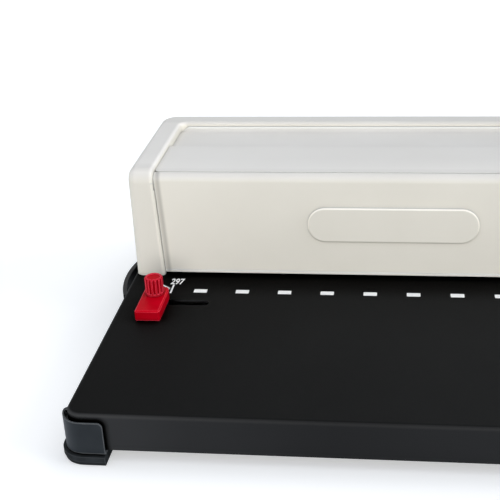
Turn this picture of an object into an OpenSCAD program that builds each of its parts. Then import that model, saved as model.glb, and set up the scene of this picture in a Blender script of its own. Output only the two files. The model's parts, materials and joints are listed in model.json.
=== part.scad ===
// Desk machine that punches a line of rectangular holes in A4 sheets and closes wire loops in them.
// X runs along the punch line to the lever side, Y to the back, Z up from the surface it stands on.

/* [Punch line] */
// Distance from one hole centre to the next
hole_pitch = 14.2875; // [14.1:0.0125:14.3]
// Long side of one punch
punch_w = 8; // [7:0.25:8]
// Short side of one punch
punch_t = 3; // [2.5:0.25:3]
// Travel of the ram
stroke = 12; // [11.5:0.25:12]
// Height of the slot that takes the sheets
throat_h = 2.5; // [2.25:0.05:2.75]
// Distance from the last hole centre to the side edge of the sheet
paper_side = 5.625; // [5.25:0.125:5.75]
// Distance from the hole centres to the sheet edge
edge_dist = 4; // [3.75:0.25:4.5]

/* [Table] */
// Width of the table
table_w = 359; // [358.5:0.5:360]
// Depth of the table
table_d = 300; // [298:1:304]
// Height of the table top
table_h = 31; // [30.5:0.5:32]
// Height of the folded edge
apron_h = 23.3; // [22.9:0.1:23.6]
// Thickness of the table sheet
sheet_t = 1.5; // [1.3:0.1:1.6]
// Radius of the table corners
corner_r = 10; // [9:0.5:11]
// Outer radius of the fold along the top edge
fold_r = 2.5; // [2.2:0.1:2.8]

/* [Corner guards and feet] */
// Thickness of a corner guard
guard_t = 2.9; // [2.5:0.1:3.2]
// Length of a guard arm
guard_l = 25.5; // [25:0.5:27]
// Distance from the table top to the top of a guard
guard_drop = 4; // [3.5:0.25:4.5]
// Height of a foot
foot_h = 5.7; // [5.4:0.1:5.8]
// How far a foot stands out past the table edge
foot_out = 4.8; // [4.4:0.1:5]

/* [Cover] */
// How far the cover is set in from the sides of the table
cover_in = 1.6; // [1.3:0.1:1.9]
// Height of the cover above the table
cover_h = 77.7; // [77:0.1:78.5]
// Distance from the table centre to the front of the cover
cover_front = 19.2; // [18.8:0.2:19.4]
// Width of the table strip behind the cover
back_strip = 8; // [7.6:0.2:8.4]
// Radius of the long top edges
cover_round = 9; // [8:0.5:9.5]
// Width of an end frame at the table
frame_foot_w = 20.2; // [19.8:0.1:20.6]
// Width of an end frame at the top
frame_top_w = 17; // [16.8:0.1:17.2]
// How far the front panel is set back
panel_set = 3.1; // [2.9:0.1:3.3]
// Length of the raised pill
pill_w = 114; // [108:1:118]
// Height of the raised pill
pill_h = 25; // [22:0.5:27]

/* [Lever] */
// Length from the shaft to the end of the grip
lever_l = 215; // [200:5:230]
// Length of the grip
grip_l = 95; // [85:5:100]
// Lean to the back at rest
lever_lean = 10; // [6:1:12]
// Diameter of the drive shaft
shaft_d = 12; // [11.8:0.1:12]

/* [Paper guide and drawer] */
// Width of the guide block
guide_w = 16.4; // [15.6:0.1:16.8]
// Length of the guide block
guide_l = 34.6; // [33:0.2:35]
// Height of the guide block
guide_h = 7; // [6.5:0.1:7.5]
// Diameter of the clamp knob
knob_d = 12; // [11.5:0.1:12.4]
// Height of the clamp knob
knob_h = 12; // [11:0.5:13]
// Width of the drawer front
drawer_w = 62; // [60:1:64]
// How far the pull stands out from the table edge
pull_out = 11.5; // [11:0.25:12]

/* [Hidden] */
$fn = 48;
// Clearance between seated pieces
fit = 0.1;
// Radial clearance of a running fit
run = 0.06;
// Small overlap used by cutters
cut = 1;
// Extra radius that keeps a round cutter from touching a flat one
shave = 0.02;

top_z = table_h;
under_z = top_z - sheet_t;
apron_z = top_z - apron_h;
plate_t = 1.5;
plate_top = apron_z + plate_t;
half_w = table_w / 2;
half_d = table_d / 2;

wall = 3;
cover_half = half_w - cover_in;
cover_w = 2 * cover_half;
cover_back = half_d - back_strip;
cover_top = top_z + cover_h;
tray_drop = 3.5;
tray_z = cover_top - tray_drop;
tray_t = 2.5;
dish_drop = 3.2;
flange_w = 7.5;
flange_gap = 0.4;
frame_t = 3;
frame_out = cover_half - wall - flange_gap - flange_w;
frame_in = frame_out - frame_t;
head_gap = 2;
head_half = frame_in - head_gap;

// As many holes as the head has room for, an odd number
line_end = 18.5;
hole_count = 2 * floor((head_half - line_end) / hole_pitch) + 1;
line_half = (hole_count - 1) / 2 * hole_pitch;
paper_l = 2 * (line_half + paper_side);
punch_in = 30.8;
punch_y = cover_front + punch_in;
land_end = 4;
die_half = head_half - land_end;
land_d = 16;
die_ahead = 14;
head_ahead = 12;
head_behind = 18;
die_front = punch_y - die_ahead;
head_front = punch_y - head_ahead;
head_back = punch_y + head_behind;
die_h = 6.5;
throat_z = top_z + throat_h;
guide_plate_t = 8;
guide_top = throat_z + guide_plate_t;
bolt_behind = 13.5;
bolt_y = punch_y + bolt_behind;
bolt_share = [0.28, 0.84];
bolt_x = [for (k = bolt_share) k * line_half];
bolt_d = 5;
end_gap = 0.5;
paper_side_gap = 2;

ram_d = 16;
ram_h = 16;
ram_spare = 1.5;
ram_gap = stroke + ram_spare;
ram_z = guide_top + ram_gap;
ram_top = ram_z + ram_h;
ram_front = punch_y - ram_d / 2;
ram_back = punch_y + ram_d / 2;
tip_gap = 1;
tip_step = 1;
retainer_t = 3;
retainer_in = 2;
set_steps = 2.5;
set_d = 3;
set_l = 8;
set_head_d = 5.5;
set_head_h = 3;
row_z = [4.5, 11.5];
thread_l = 5;

post_end = 7;
post_x = head_half - post_end;
post_d = 6;
post_neck_d = 5;
post_rest_gap = 0.3;
post_head_d = 11;
post_head_h = 4;
pocket_d = 11.6;
pocket_h = 11.5;
wire_d = 1.2;
coil_r = 4.5;
coil_turns = 7;
coil_steps = 12;
coil_sides = 6;
coil_gap = 0.05;

gear_m = 1.25;
pressure = 20;
gear_n = 14;
gear_r = gear_m * gear_n / 2;
gear_add = 1.2;
gear_ded = 1.2;
gear_out = gear_r + gear_add;
gear_root = gear_r - gear_ded;
gear_base = gear_r * cos(pressure);
gear_w = 10;
boss_w = 8;
boss_d = 17;
pin_d = 3;
pin_in = 0.3;
flank_gap = 0.2;
flank_steps = 5;
rack_steps = 3.5;
rack_x = line_half - rack_steps * hole_pitch;
rack_side = 0.3;
rack_w = gear_w - 2 * rack_side;
rack_body = 6.4;
rack_add = 0.95;
rack_ded = 1.5;
rack_line = ram_back + rack_body + rack_ded;
rack_l = 26;
shaft_y = rack_line + gear_r;
shaft_up = 7;
shaft_z = ram_z + shaft_up;
pin_x = rack_x + gear_w / 2 + boss_w / 2;

frame_ahead = 10;
frame_behind = 50;
frame_y = [punch_y - frame_ahead, punch_y + frame_behind];
frame_h = 53;
frame_back_h = 37;
frame_front_h = 29;
brow = 14;
bush_d = 16;
bush_in = 1.5;
end_play = 0.2;
collar_w = 4.6;
bush_flange_d = 20;
bush_flange_t = 1.5;
side_screw_in = 8;
side_screw_x = frame_out + (flange_w - fit) / 2;
side_screw_y = [frame_y[0] + side_screw_in, frame_y[1] - side_screw_in];
screw_d = 3.9;
screw_head_d = 7;
screw_head_h = 2.8;
slot_t = 1;
slot_deep = 1;
tip_cover = 0.3;
cap_head_h = 3.8;

arm_end = 32;
arm_x = head_half - arm_end;
arm_t = 4;
arm_foot_w = 14;
arm_gap = 5.5;
arm_top = tray_z - dish_drop - tray_t - arm_gap;
arm_strap = 12;
arm_low = arm_top - arm_strap;
arm_leg = 8;
bend_in = 3;
bend_out = 6;
bar_tab = 3;
bar_d = 14;
bar_behind = 13;
bar_y = [cover_back - bar_behind - bar_d, cover_back - bar_behind];
bar_h = 8;
bar_under = 5;
bar_z = ram_z - bar_under;
anvil_d = 27;
anvil_behind = 7;
anvil_y = [cover_back - anvil_behind - anvil_d, cover_back - anvil_behind];
anvil_t = 3;
anvil_lip = 10;
anvil_screw_end = 10;
anvil_screw_step = 94;
anvil_screw_y = (bar_y[0] + bar_y[1]) / 2;

cover_edge = 5;
cover_corner = 12;
seam_r = 0.5;
open_foot = cover_half - frame_foot_w;
open_top = cover_half - frame_top_w;
panel_y = cover_front + panel_set;
panel_t = 2.5;
panel_gap = 2;
panel_low = top_z + panel_gap;
panel_nose = 5.5;
seam_y = panel_y + panel_nose;
crease_in = 59.8;
crease_y = cover_front + crease_in;
crease_l = 5;
rim_extra = 1;
tray_back = cover_back - frame_top_w - rim_extra;
edge_r = 2.9;
lip_t = 2.5;
lip_in = 2;
lip_low = 10;
lip_y = seam_y + lip_in;
lip_z = tray_z - lip_low;
seat_gap = 0.25;
tray_gap = 0.12;
seam_gap = 1.2;
boss_in = 9.4;
boss_back = 13.4;
boss_wall = 4;
boss_x = cover_half - wall - boss_wall;
boss_y = [cover_front + boss_in, cover_back - boss_back];
cover_boss_d = 9;
cover_boss_h = 20;
cover_hole = 15;
tray_r = 6;
ledge_w = 4;
ledge_back = 1.5;
panel_lip_out = 0.8;
panel_lip_h = 1.5;
panel_flange = 2;
pill_mid = 39;
pill_z = top_z + pill_mid;
pill_raise = 1.8;
pill_edge = 1.4;
closer_h = 27;
closer_end = 7;
bar_end = 5;
closer_half = head_half - closer_end;
bar_half = closer_half - bar_end;
anvil_screw_x = [bar_half - anvil_screw_end - anvil_screw_step, bar_half - anvil_screw_end];
hub_hole_d = 22;

lever_gap = 2.5;
arm_in = cover_half + lever_gap;
arm_w = 6;
arm_out = arm_in + arm_w;
lever_x = (arm_in + arm_out) / 2;
hub_d = 32;
strap_w = 18;
grip_w = 25;
grip_t = 15;
flat_h = 4.5;
end_screw_d = 6;
end_head_d = 13;
end_head_h = 4;
end_hole = 16;
end_key = 5.8;
tang_t = 4;
tang_w = 12;
grip_cap = 20;
tang_l = grip_l - grip_cap;
grip_low = lever_l - grip_l;
grip_side_r = 8;
grip_edge_r = 4;

guide_past = 1;
guide_x = -paper_l / 2 + guide_past - guide_w / 2;
slot_ahead = 38.9;
slot_y = cover_front - slot_ahead;
knob_back = 9.3;
guide_y = slot_y + knob_back - guide_l / 2;
guide_back_r = 5;
slot_w = 7.2;
slot_left = 10.2;
slot_right = 35.8;
slot_x = [guide_x - slot_left, guide_x + slot_right];
key_l = 12;
stud_d = 4;
nut_w = 14;
nut_t = 3;
stud_tail = 2.5;
guide_low = top_z + fit;
guide_high = top_z + guide_h;
guide_r = 1.6;
guide_edge = 0.9;
key_gap = 0.2;
knob_low = guide_high + fit;
knob_top = knob_low + knob_h;
knob_edge = 0.8;
knob_ribs = 14;
rib_d = 1.7;
knob_rim = 0.6;
knob_dish = 0.7;
rib_low = 1.2;
knob_cap = 3;

drawer_ahead = 11;
drawer_y = punch_y - drawer_ahead;
face_side = 3;
drawer_in = drawer_w - 2 * face_side;
drawer_play = 0.3;
drawer_h = 12.5;
drawer_z = plate_top + drawer_play;
drawer_top = drawer_z + drawer_h;
drawer_short = 12;
drawer_end = head_half - drawer_short;
drawer_wall = 1.6;
face_t = 2;
face_gap = 0.4;
face_x = -half_w - face_gap;
pull_wall = 3;
pull_end = 6.4;
pull_h = 12;
pull_low = 1.8;
face_low = 0.8;
face_over = 2;
lap = 0.2;
rail_t = 2;
rail_gap = 0.3;
rail_lip = 2.5;
rail_in = 8;
rail_past = 4;
rail_play = 0.4;
rail_start = -half_w + rail_in;
rail_end = drawer_end + rail_past;
rail_z = drawer_top + rail_play;
door_gap = 1;

foot_in = guard_l;
foot_screw_in = 14.5;
foot_x = half_w - foot_screw_in;
foot_y = half_d - foot_screw_in;
foot_screw_head = 8;
foot_head_h = 2.2;
foot_step_h = 2.4;
foot_step_in = 0.7;
guard_side = 15.5;
guard_side_r = 2.6;
guard_below = 0.7;
guard_r = 3;
guard_lip = 0.9;
guard_rebate = 2.4;
groove_in = 1.4;
pillar_d = 10;
pillar_hole = 13;

// Extrudes a drawing of Y and Z along X
module along_x(x0, x1) {
    translate([x0, 0, 0]) rotate([90, 0, 90]) linear_extrude(x1 - x0) children();
}

// Extrudes a drawing of X and Z along Y
module along_y(y0, y1) {
    translate([0, y1, 0]) rotate([90, 0, 0]) linear_extrude(y1 - y0) children();
}

// Extrudes a drawing of X and Y along Z
module along_z(z0, z1) {
    translate([0, 0, z0]) linear_extrude(z1 - z0) children();
}

module rod_x(x0, x1, d) {
    translate([x0, 0, 0]) rotate([0, 90, 0]) cylinder(d = d, h = x1 - x0);
}

module rod_y(y0, y1, d) {
    translate([0, y1, 0]) rotate([90, 0, 0]) cylinder(d = d, h = y1 - y0);
}

module rod_z(z0, z1, d) {
    translate([0, 0, z0]) cylinder(d = d, h = z1 - z0);
}

module block(lo, hi) {
    translate(lo) cube(hi - lo);
}

// Screw with a slotted head under z and its end at tip
module slot_screw(z, tip, head_d, head_h) {
    half = 3 / 8 * head_d;
    face = z - head_h;
    rod_z(z, tip, screw_d);
    difference() {
        rod_z(face, z, head_d);
        block([-half, -slot_t / 2, face - cut], [half, slot_t / 2, face + slot_deep]);
    }
}

// Screw head with a hexagon socket, its seat at Z 0
module socket_head(d, h, key) {
    difference() {
        rod_z(0, h, d);
        translate([0, 0, h / 2]) cylinder(d = key, h = h, $fn = 6);
    }
}

module both_sides() {
    children();
    mirror([1, 0, 0]) children();
}

module on_side(s) {
    mirror([s < 0 ? 1 : 0, 0, 0]) children();
}

module on_corner(sx, sy) {
    mirror([sx < 0 ? 1 : 0, 0, 0]) mirror([0, sy < 0 ? 1 : 0, 0]) children();
}

module rounded(w, d, r) {
    square([w - 2 * r, d], center = true);
    square([w, d - 2 * r], center = true);
    for (sx = [-1, 1], sy = [-1, 1])
        translate([sx * (w / 2 - r), sy * (d / 2 - r)]) circle(r);
}

module stadium(l, w) {
    square([l - w, w], center = true);
    for (s = [-1, 1])
        translate([s * (l - w) / 2, 0]) circle(d = w);
}

module table_outline(grow) {
    rounded(table_w + 2 * grow, table_d + 2 * grow, corner_r + grow);
}

module at_punches() {
    for (i = [0 : hole_count - 1])
        translate([i * hole_pitch - line_half, punch_y, 0]) children();
}

module at_posts() {
    for (s = [-1, 1])
        translate([s * post_x, punch_y, 0]) children();
}

module at_head_bolts() {
    for (x = bolt_x, s = [-1, 1])
        translate([s * x, bolt_y, 0]) children();
}

module at_side_screws() {
    for (y = side_screw_y, s = [-1, 1])
        translate([s * side_screw_x, y, 0]) children();
}

module at_anvil_screws() {
    for (x = anvil_screw_x, s = [-1, 1])
        translate([s * x, anvil_screw_y, 0]) children();
}

module at_cover_bosses() {
    for (y = boss_y, s = [-1, 1])
        translate([s * boss_x, y, 0]) children();
}

module at_feet() {
    for (sx = [-1, 1], sy = [-1, 1])
        translate([sx * foot_x, sy * foot_y, 0]) children();
}

// Cross-section of the folded edge, outer face at X 0, lower edge at Y 0
module fold_section() {
    translate([-sheet_t, 0]) square([sheet_t, apron_h - fold_r]);
    translate([-fold_r, apron_h - fold_r])
        intersection() {
            difference() {
                circle(fold_r);
                circle(fold_r - sheet_t);
            }
            square(fold_r);
        }
    translate([-corner_r, apron_h - sheet_t]) square([corner_r - fold_r, sheet_t]);
}

module folded_sheet() {
    for (sx = [-1, 1], sy = [-1, 1])
        on_corner(sx, sy)
            translate([half_w - corner_r, half_d - corner_r, apron_z])
                rotate_extrude(angle = 90) translate([corner_r, 0]) fold_section();
    for (s = [0, 180])
        rotate([0, 0, s]) {
            translate([0, 0, apron_z])
                along_y(-half_d + corner_r, half_d - corner_r) translate([half_w, 0]) fold_section();
            translate([0, 0, apron_z])
                along_x(-half_w + corner_r, half_w - corner_r) translate([half_d, 0]) fold_section();
        }
    block([-half_w + corner_r, -half_d + corner_r, under_z],
          [half_w - corner_r, half_d - corner_r, top_z]);
}

module table() {
    color("#1b1c1e")
        difference() {
            folded_sheet();
            block([-die_half - fit, punch_y - land_d / 2 - fit, under_z - cut],
                  [die_half + fit, punch_y + land_d / 2 + fit, top_z + cut]);
            translate([(slot_x[0] + slot_x[1]) / 2, slot_y, 0])
                along_z(under_z - cut, top_z + cut) stadium(slot_x[1] - slot_x[0], slot_w);
            block([-half_w - cut, drawer_y - drawer_in / 2 - door_gap, apron_z - cut],
                  [-half_w + sheet_t + cut, drawer_y + drawer_in / 2 + door_gap, drawer_top + door_gap]);
            at_head_bolts() rod_z(under_z - cut, top_z + cut, bolt_d + 2 * fit);
            at_side_screws() rod_z(under_z - cut, top_z + cut, screw_d + 2 * fit);
            at_anvil_screws() rod_z(under_z - cut, top_z + cut, screw_d + 2 * fit);
            at_cover_bosses() rod_z(under_z - cut, top_z + cut, screw_d + 2 * fit);
        }
}

module base_plate() {
    color("#26272a")
        difference() {
            along_z(apron_z, plate_top) table_outline(-sheet_t - 2 * fit);
            at_feet() rod_z(apron_z - cut, plate_top + cut, screw_d + 2 * fit);
        }
}

module pillars() {
    color("#9a9da1")
        at_feet()
            difference() {
                rod_z(plate_top, under_z, pillar_d);
                rod_z(plate_top - cut, plate_top + pillar_hole, screw_d + 2 * fit);
            }
}

// Cutter that rounds the free upper end of a guard arm, drawn with the end at X 0
module guard_end(x, z) {
    difference() {
        translate([x - cut, z - guard_r]) square([guard_r + cut, guard_r + cut]);
        translate([x + guard_r, z - guard_r]) circle(guard_r);
    }
}

// Room behind the free lip along the top of a guard and along the end of its longer arm
module guard_recess(x, y, z) {
    intersection() {
        union() {
            along_z(z - guard_rebate, z + cut) table_outline(guard_t - guard_lip);
            intersection() {
                along_z(apron_z, z + cut) table_outline(guard_t - guard_lip);
                block([x - cut, 0, 0], [x + guard_rebate, table_d, z + 2 * cut]);
            }
        }
        block([0, y + guard_side_r, 0], [table_w, table_d, z + 2 * cut]);
    }
}

// Corner guard of the back right corner
module guard() {
    low = apron_z - guard_below;
    high = top_z - guard_drop;
    reach_x = half_w + guard_t - guard_l;
    reach_y = half_d + guard_t - guard_side;
    seat_y = half_d + guard_t - foot_in;
    far_x = half_w + 2 * guard_t;
    far_y = half_d + 2 * guard_t;
    color("#2c3034")
        difference() {
            union() {
                intersection() {
                    along_z(low, high)
                        difference() {
                            table_outline(guard_t);
                            table_outline(fit);
                        }
                    block([reach_x, reach_y, low], [far_x, far_y, high]);
                }
                intersection() {
                    along_z(foot_h, apron_z) table_outline(guard_t - groove_in);
                    block([reach_x, seat_y, foot_h], [far_x, far_y, apron_z]);
                }
            }
            translate([foot_x, foot_y, 0]) rod_z(foot_h - cut, apron_z + cut, screw_d + 2 * fit);
            along_y(half_d, far_y) guard_end(reach_x, high);
            along_z(low - cut, high + cut)
                translate([half_w + guard_t, reach_y]) mirror([0, 1]) edge_cutter(guard_side_r);
            guard_recess(reach_x, reach_y, high);
        }
}

module guard_front_left() { on_corner(-1, -1) guard(); }
module guard_front_right() { on_corner(1, -1) guard(); }
module guard_back_left() { on_corner(-1, 1) guard(); }
module guard_back_right() { on_corner(1, 1) guard(); }

// One layer of the foot of the back right corner
module foot_layer(z0, z1, grow) {
    intersection() {
        along_z(z0, z1) table_outline(grow);
        block([half_w + guard_t - foot_in, half_d + guard_t - foot_in, z0],
              [half_w + 2 * foot_out, half_d + 2 * foot_out, z1]);
    }
}

module foot() {
    color("#1d1f21")
        difference() {
            union() {
                foot_layer(foot_step_h, foot_h, foot_out);
                foot_layer(0, foot_step_h, foot_out - foot_step_in);
            }
            translate([foot_x, foot_y, 0]) rod_z(-cut, foot_h + cut, screw_d + 2 * fit);
            translate([foot_x, foot_y, 0]) rod_z(-cut, foot_h / 2, foot_screw_head + 2 * end_gap);
        }
}

module foot_front_left() { on_corner(-1, -1) foot(); }
module foot_front_right() { on_corner(1, -1) foot(); }
module foot_back_left() { on_corner(-1, 1) foot(); }
module foot_back_right() { on_corner(1, 1) foot(); }

module foot_screws() {
    color("#c9ccd0")
        at_feet() slot_screw(foot_h / 2, plate_top + pillar_hole - cut, foot_screw_head, foot_head_h);
}

// Side frame of the lever side
module side_frame() {
    color("#8d9196")
        difference() {
            union() {
                along_x(frame_in, frame_out)
                    polygon([
                        [frame_y[0], top_z], [frame_y[1], top_z],
                        [frame_y[1], top_z + frame_back_h], [shaft_y + brow, top_z + frame_h],
                        [shaft_y - brow, top_z + frame_h], [frame_y[0], top_z + frame_front_h]
                    ]);
                block([frame_out - cut, frame_y[0], top_z],
                      [frame_out + flange_w, frame_y[1], top_z + frame_t]);
            }
            translate([0, shaft_y, shaft_z]) rod_x(frame_in - cut, frame_out + cut, bush_d);
            for (y = side_screw_y)
                translate([side_screw_x, y, 0])
                    rod_z(top_z - cut, top_z + frame_t + cut, screw_d + 2 * fit);
        }
}

module frame_left() { on_side(-1) side_frame(); }
module frame_right() { on_side(1) side_frame(); }

module table_screws() {
    tip = top_z + frame_t - tip_cover;
    color("#c9ccd0") {
        at_side_screws() slot_screw(under_z, tip, screw_head_d, screw_head_h);
        at_anvil_screws() slot_screw(under_z, tip, screw_head_d, screw_head_h);
    }
}

// Flanged bush of the lever side
module bush() {
    color("#a9803f")
        translate([0, shaft_y, shaft_z])
            difference() {
                union() {
                    rod_x(frame_in - bush_in, frame_out + bush_flange_t, bush_d);
                    rod_x(frame_out, frame_out + bush_flange_t, bush_flange_d);
                }
                rod_x(frame_in - bush_in - cut, frame_out + bush_flange_t + cut, shaft_d + 2 * run);
            }
}

module bush_left() { on_side(-1) bush(); }
module bush_right() { on_side(1) bush(); }

module punch_holes(z0, z1, gap) {
    at_punches()
        block([-punch_w / 2 - gap, -punch_t / 2 - gap, z0], [punch_w / 2 + gap, punch_t / 2 + gap, z1]);
}

module die_plate() {
    color("#7f848a")
        difference() {
            union() {
                block([-head_half, die_front, top_z - die_h], [head_half, head_back, under_z]);
                block([-die_half, punch_y - land_d / 2, under_z - cut],
                      [die_half, punch_y + land_d / 2, top_z]);
            }
            punch_holes(top_z - die_h - cut, top_z + cut, run);
            at_head_bolts() rod_z(top_z - die_h - cut, top_z + cut, bolt_d + 2 * run);
        }
}

// Shim that sets the paper slot, its back strip stops the sheets
module throat_shim() {
    stop_y = punch_y + edge_dist;
    leg_x = paper_l / 2 + paper_side_gap;
    color("#a4a8ad")
        difference() {
            union() {
                block([-head_half, stop_y, top_z], [head_half, head_back, throat_z]);
                both_sides() block([leg_x, head_front, top_z], [head_half, stop_y + cut, throat_z]);
            }
            at_head_bolts() rod_z(top_z - cut, throat_z + cut, bolt_d + 2 * fit);
        }
}

module guide_plate() {
    color("#8a8f95")
        difference() {
            block([-head_half, head_front, throat_z], [head_half, head_back, guide_top]);
            punch_holes(throat_z - cut, guide_top + cut, run);
            at_head_bolts() rod_z(throat_z - cut, guide_top + cut, bolt_d + 2 * fit);
            at_posts() rod_z(throat_z - cut, guide_top + cut, post_neck_d + 2 * run);
        }
}

module head_bolts() {
    color("#33363a")
        at_head_bolts() {
            rod_z(top_z - die_h + end_gap, guide_top, bolt_d);
            translate([0, 0, guide_top]) socket_head(1.7 * bolt_d, bolt_d, 0.9 * bolt_d);
        }
}

// Shouldered post that guides one end of the ram
module post() {
    seat = ram_top + post_rest_gap;
    color("#c2c5c9")
        translate([post_x, punch_y, 0]) {
            rod_z(throat_z + end_gap, guide_top, post_neck_d);
            rod_z(guide_top, seat, post_d);
            translate([0, 0, seat]) socket_head(post_head_d, post_head_h, post_d);
        }
}

module post_left() { on_side(-1) post(); }
module post_right() { on_side(1) post(); }

// Angle that carries the wire in the closer
module anvil() {
    color("#8a8f95")
        difference() {
            union() {
                block([-bar_half, anvil_y[0], top_z], [bar_half, anvil_y[1], top_z + anvil_t]);
                block([-bar_half, anvil_y[0], top_z],
                      [bar_half, anvil_y[0] + anvil_t, top_z + anvil_t + anvil_lip]);
            }
            at_anvil_screws() rod_z(top_z - cut, top_z + anvil_t - tip_cover / 2, screw_d + 2 * fit);
        }
}

// Side view of the cover, drawn in Y and Z, inset by g
module cover_side(g) {
    r = cover_round - g;
    low = top_z - g;
    high = cover_top - g;
    front = cover_front + g;
    back = cover_back - g;
    translate([front, low]) square([back - front, high - r - low]);
    translate([front + r, low]) square([back - front - r, high - low]);
    translate([front + r, high - r]) circle(r);
}

// Top view of the cover, drawn in X and Y, inset by g
module cover_plan(g) {
    r_front = cover_edge - g;
    r_back = cover_corner - g;
    half = cover_half - g;
    front = cover_front + g;
    back = cover_back - g;
    translate([-half, front + r_front]) square([2 * half, back - front - r_front - r_back]);
    translate([-half + r_front, front]) square([2 * half - 2 * r_front, r_front + cut]);
    translate([-half + r_back, back - r_back - cut]) square([2 * half - 2 * r_back, r_back + cut]);
    for (s = [-1, 1]) {
        translate([s * (half - r_front), front + r_front]) circle(r_front);
        translate([s * (half - r_back), back - r_back]) circle(r_back);
    }
}

module cover_form(g) {
    intersection() {
        along_x(-cover_half, cover_half) cover_side(g);
        along_z(top_z - g, cover_top) cover_plan(g);
    }
}

// Rounds the outer top edge of the right end and of the back
module cover_edge_cutter() {
    along_y(cover_front + cover_round, cover_back - cover_corner)
        translate([cover_half, cover_top]) edge_cutter(cover_edge);
    translate([0, cover_front + cover_round, cover_top - cover_round])
        rotate([0, -90, 180]) rotate_extrude(angle = 90)
            translate([cover_round, -cover_half]) mirror([0, 1]) edge_cutter(cover_edge);
    translate([cover_half - cover_corner, cover_back - cover_corner, cover_top])
        rotate_extrude(angle = 90) translate([cover_corner, 0]) edge_cutter(cover_edge);
    along_x(-cover_half + cover_corner, cover_half - cover_corner)
        translate([cover_back, cover_top]) edge_cutter(cover_edge);
}

module cover_body() {
    difference() {
        cover_form(0);
        both_sides() cover_edge_cutter();
    }
}

// Opening between the end frames, drawn in X and Z, narrowed by g on each side
module front_opening(g, z0, z1) {
    slope = (open_top - open_foot) / cover_h;
    lo = open_foot + slope * (z0 - top_z) - g;
    hi = open_foot + slope * (z1 - top_z) - g;
    polygon([[-lo, z0], [lo, z0], [hi, z1], [-hi, z1]]);
}

// Opening for the top tray, drawn in X and Y
module tray_outline(g) {
    r = tray_r;
    x = open_top - g;
    y = tray_back - g;
    translate([-x, cover_front - cut]) square([2 * x, y - r - cover_front + cut]);
    translate([-x + r, cover_front - cut]) square([2 * (x - r), y - cover_front + cut]);
    for (s = [-1, 1])
        translate([s * (x - r), y - r]) circle(r);
}

// Cutter that rounds an edge, drawn with the edge at the origin and the material at minus X and minus Y
module edge_cutter(r) {
    difference() {
        translate([-r, -r]) square(r + cut);
        translate([-r, -r]) circle(r + shave);
    }
}

// Rounds the inner edge of the right end frame and the back rim
module frame_edge_cutter() {
    tilt = atan((open_top - open_foot) / cover_h);
    past = 5;
    translate([open_top, cover_front, cover_top])
        rotate([0, tilt, 0]) translate([0, 0, -cover_h - past]) rotate([0, 0, 180])
            linear_extrude(cover_h + past - cover_round) edge_cutter(edge_r);
    translate([0, cover_front + cover_round, cover_top - cover_round])
        rotate([0, -90, 180]) rotate_extrude(angle = 90)
            translate([cover_round, -open_top]) rotate(90) mirror([0, 1]) edge_cutter(edge_r);
    along_y(cover_front + cover_round, tray_back - tray_r)
        translate([open_top, cover_top]) mirror([1, 0]) edge_cutter(edge_r);
    along_x(-open_top + tray_r, open_top - tray_r)
        translate([tray_back, cover_top]) mirror([1, 0]) edge_cutter(edge_r);
    translate([open_top - tray_r, tray_back - tray_r, cover_top])
        rotate_extrude(angle = 90) translate([tray_r, 0]) mirror([1, 0]) edge_cutter(edge_r);
}

module cover_shell() {
    color("#dcdad0")
        difference() {
            union() {
                difference() {
                    cover_body();
                    difference() {
                        cover_form(wall);
                        along_y(cover_front, lip_y) front_opening(-lip_t, top_z - cut, cover_top);
                        along_z(lip_z, cover_top) tray_outline(-lip_t);
                    }
                    along_y(cover_front - cut, lip_y + cut)
                        front_opening(0, top_z - cut, cover_top + cut);
                    along_z(lip_z - cut, cover_top + cut) tray_outline(0);
                }
                intersection() {
                    at_cover_bosses() rod_z(top_z, top_z + cover_boss_h, cover_boss_d);
                    block([-cover_half + cut, cover_front + cut, top_z],
                          [cover_half - cut, cover_back - cut, cover_top]);
                }
                difference() {
                    along_z(lip_z, lip_z + tray_t) tray_outline(-lip_t);
                    along_z(lip_z - cut, lip_z + tray_t + cut) tray_outline(ledge_w);
                    block([-cover_half, cover_front - 2 * cut, lip_z - cut],
                          [cover_half, crease_y + crease_l, cover_top]);
                }
            }
            both_sides() frame_edge_cutter();
            at_cover_bosses() rod_z(top_z - cut, top_z + cover_hole, screw_d + 2 * fit);
            block([-closer_half, cover_back - wall - cut, top_z - cut],
                  [closer_half, cover_back + cut, top_z + closer_h]);
            translate([0, shaft_y, shaft_z])
                rod_x(cover_half - wall - cut, cover_half + cut, hub_hole_d);
        }
}

// Cross-section of the front panel, drawn in Y and Z
module panel_section() {
    nose_z = tray_z - panel_nose;
    translate([panel_y, panel_low]) square([panel_t, nose_z - panel_low]);
    translate([panel_y - panel_lip_out, panel_low]) square([panel_t, panel_lip_h]);
    difference() {
        translate([seam_y, nose_z])
            intersection() {
                difference() {
                    circle(panel_nose);
                    circle(panel_nose - panel_t);
                }
                translate([-panel_nose, 0]) square(panel_nose);
            }
        translate([seam_y, tray_z]) edge_cutter(seam_r);
    }
    translate([seam_y - ledge_back, tray_z - 2 * tray_t - fit]) square([ledge_w + ledge_back, tray_t]);
}

// Half of the pill's section, drawn with its middle at X 0 and its face at Y 0
module pill_section() {
    r = pill_edge;
    square([pill_h / 2 - r, pill_raise + cut]);
    translate([0, r]) square([pill_h / 2, pill_raise + cut - r]);
    translate([pill_h / 2 - r, r]) circle(r);
}

// Raised pill with a rounded edge, its face to the front
module pill() {
    half = (pill_w - pill_h) / 2;
    translate([0, panel_y - pill_raise, pill_z]) {
        along_x(-half, half) rotate(90) mirror([0, 1]) pill_section();
        along_x(-half, half) mirror([0, 1]) rotate(90) mirror([0, 1]) pill_section();
        for (s = [-1, 1])
            translate([s * half, 0, 0]) rotate([-90, 0, 0]) rotate_extrude() pill_section();
    }
}

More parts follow.
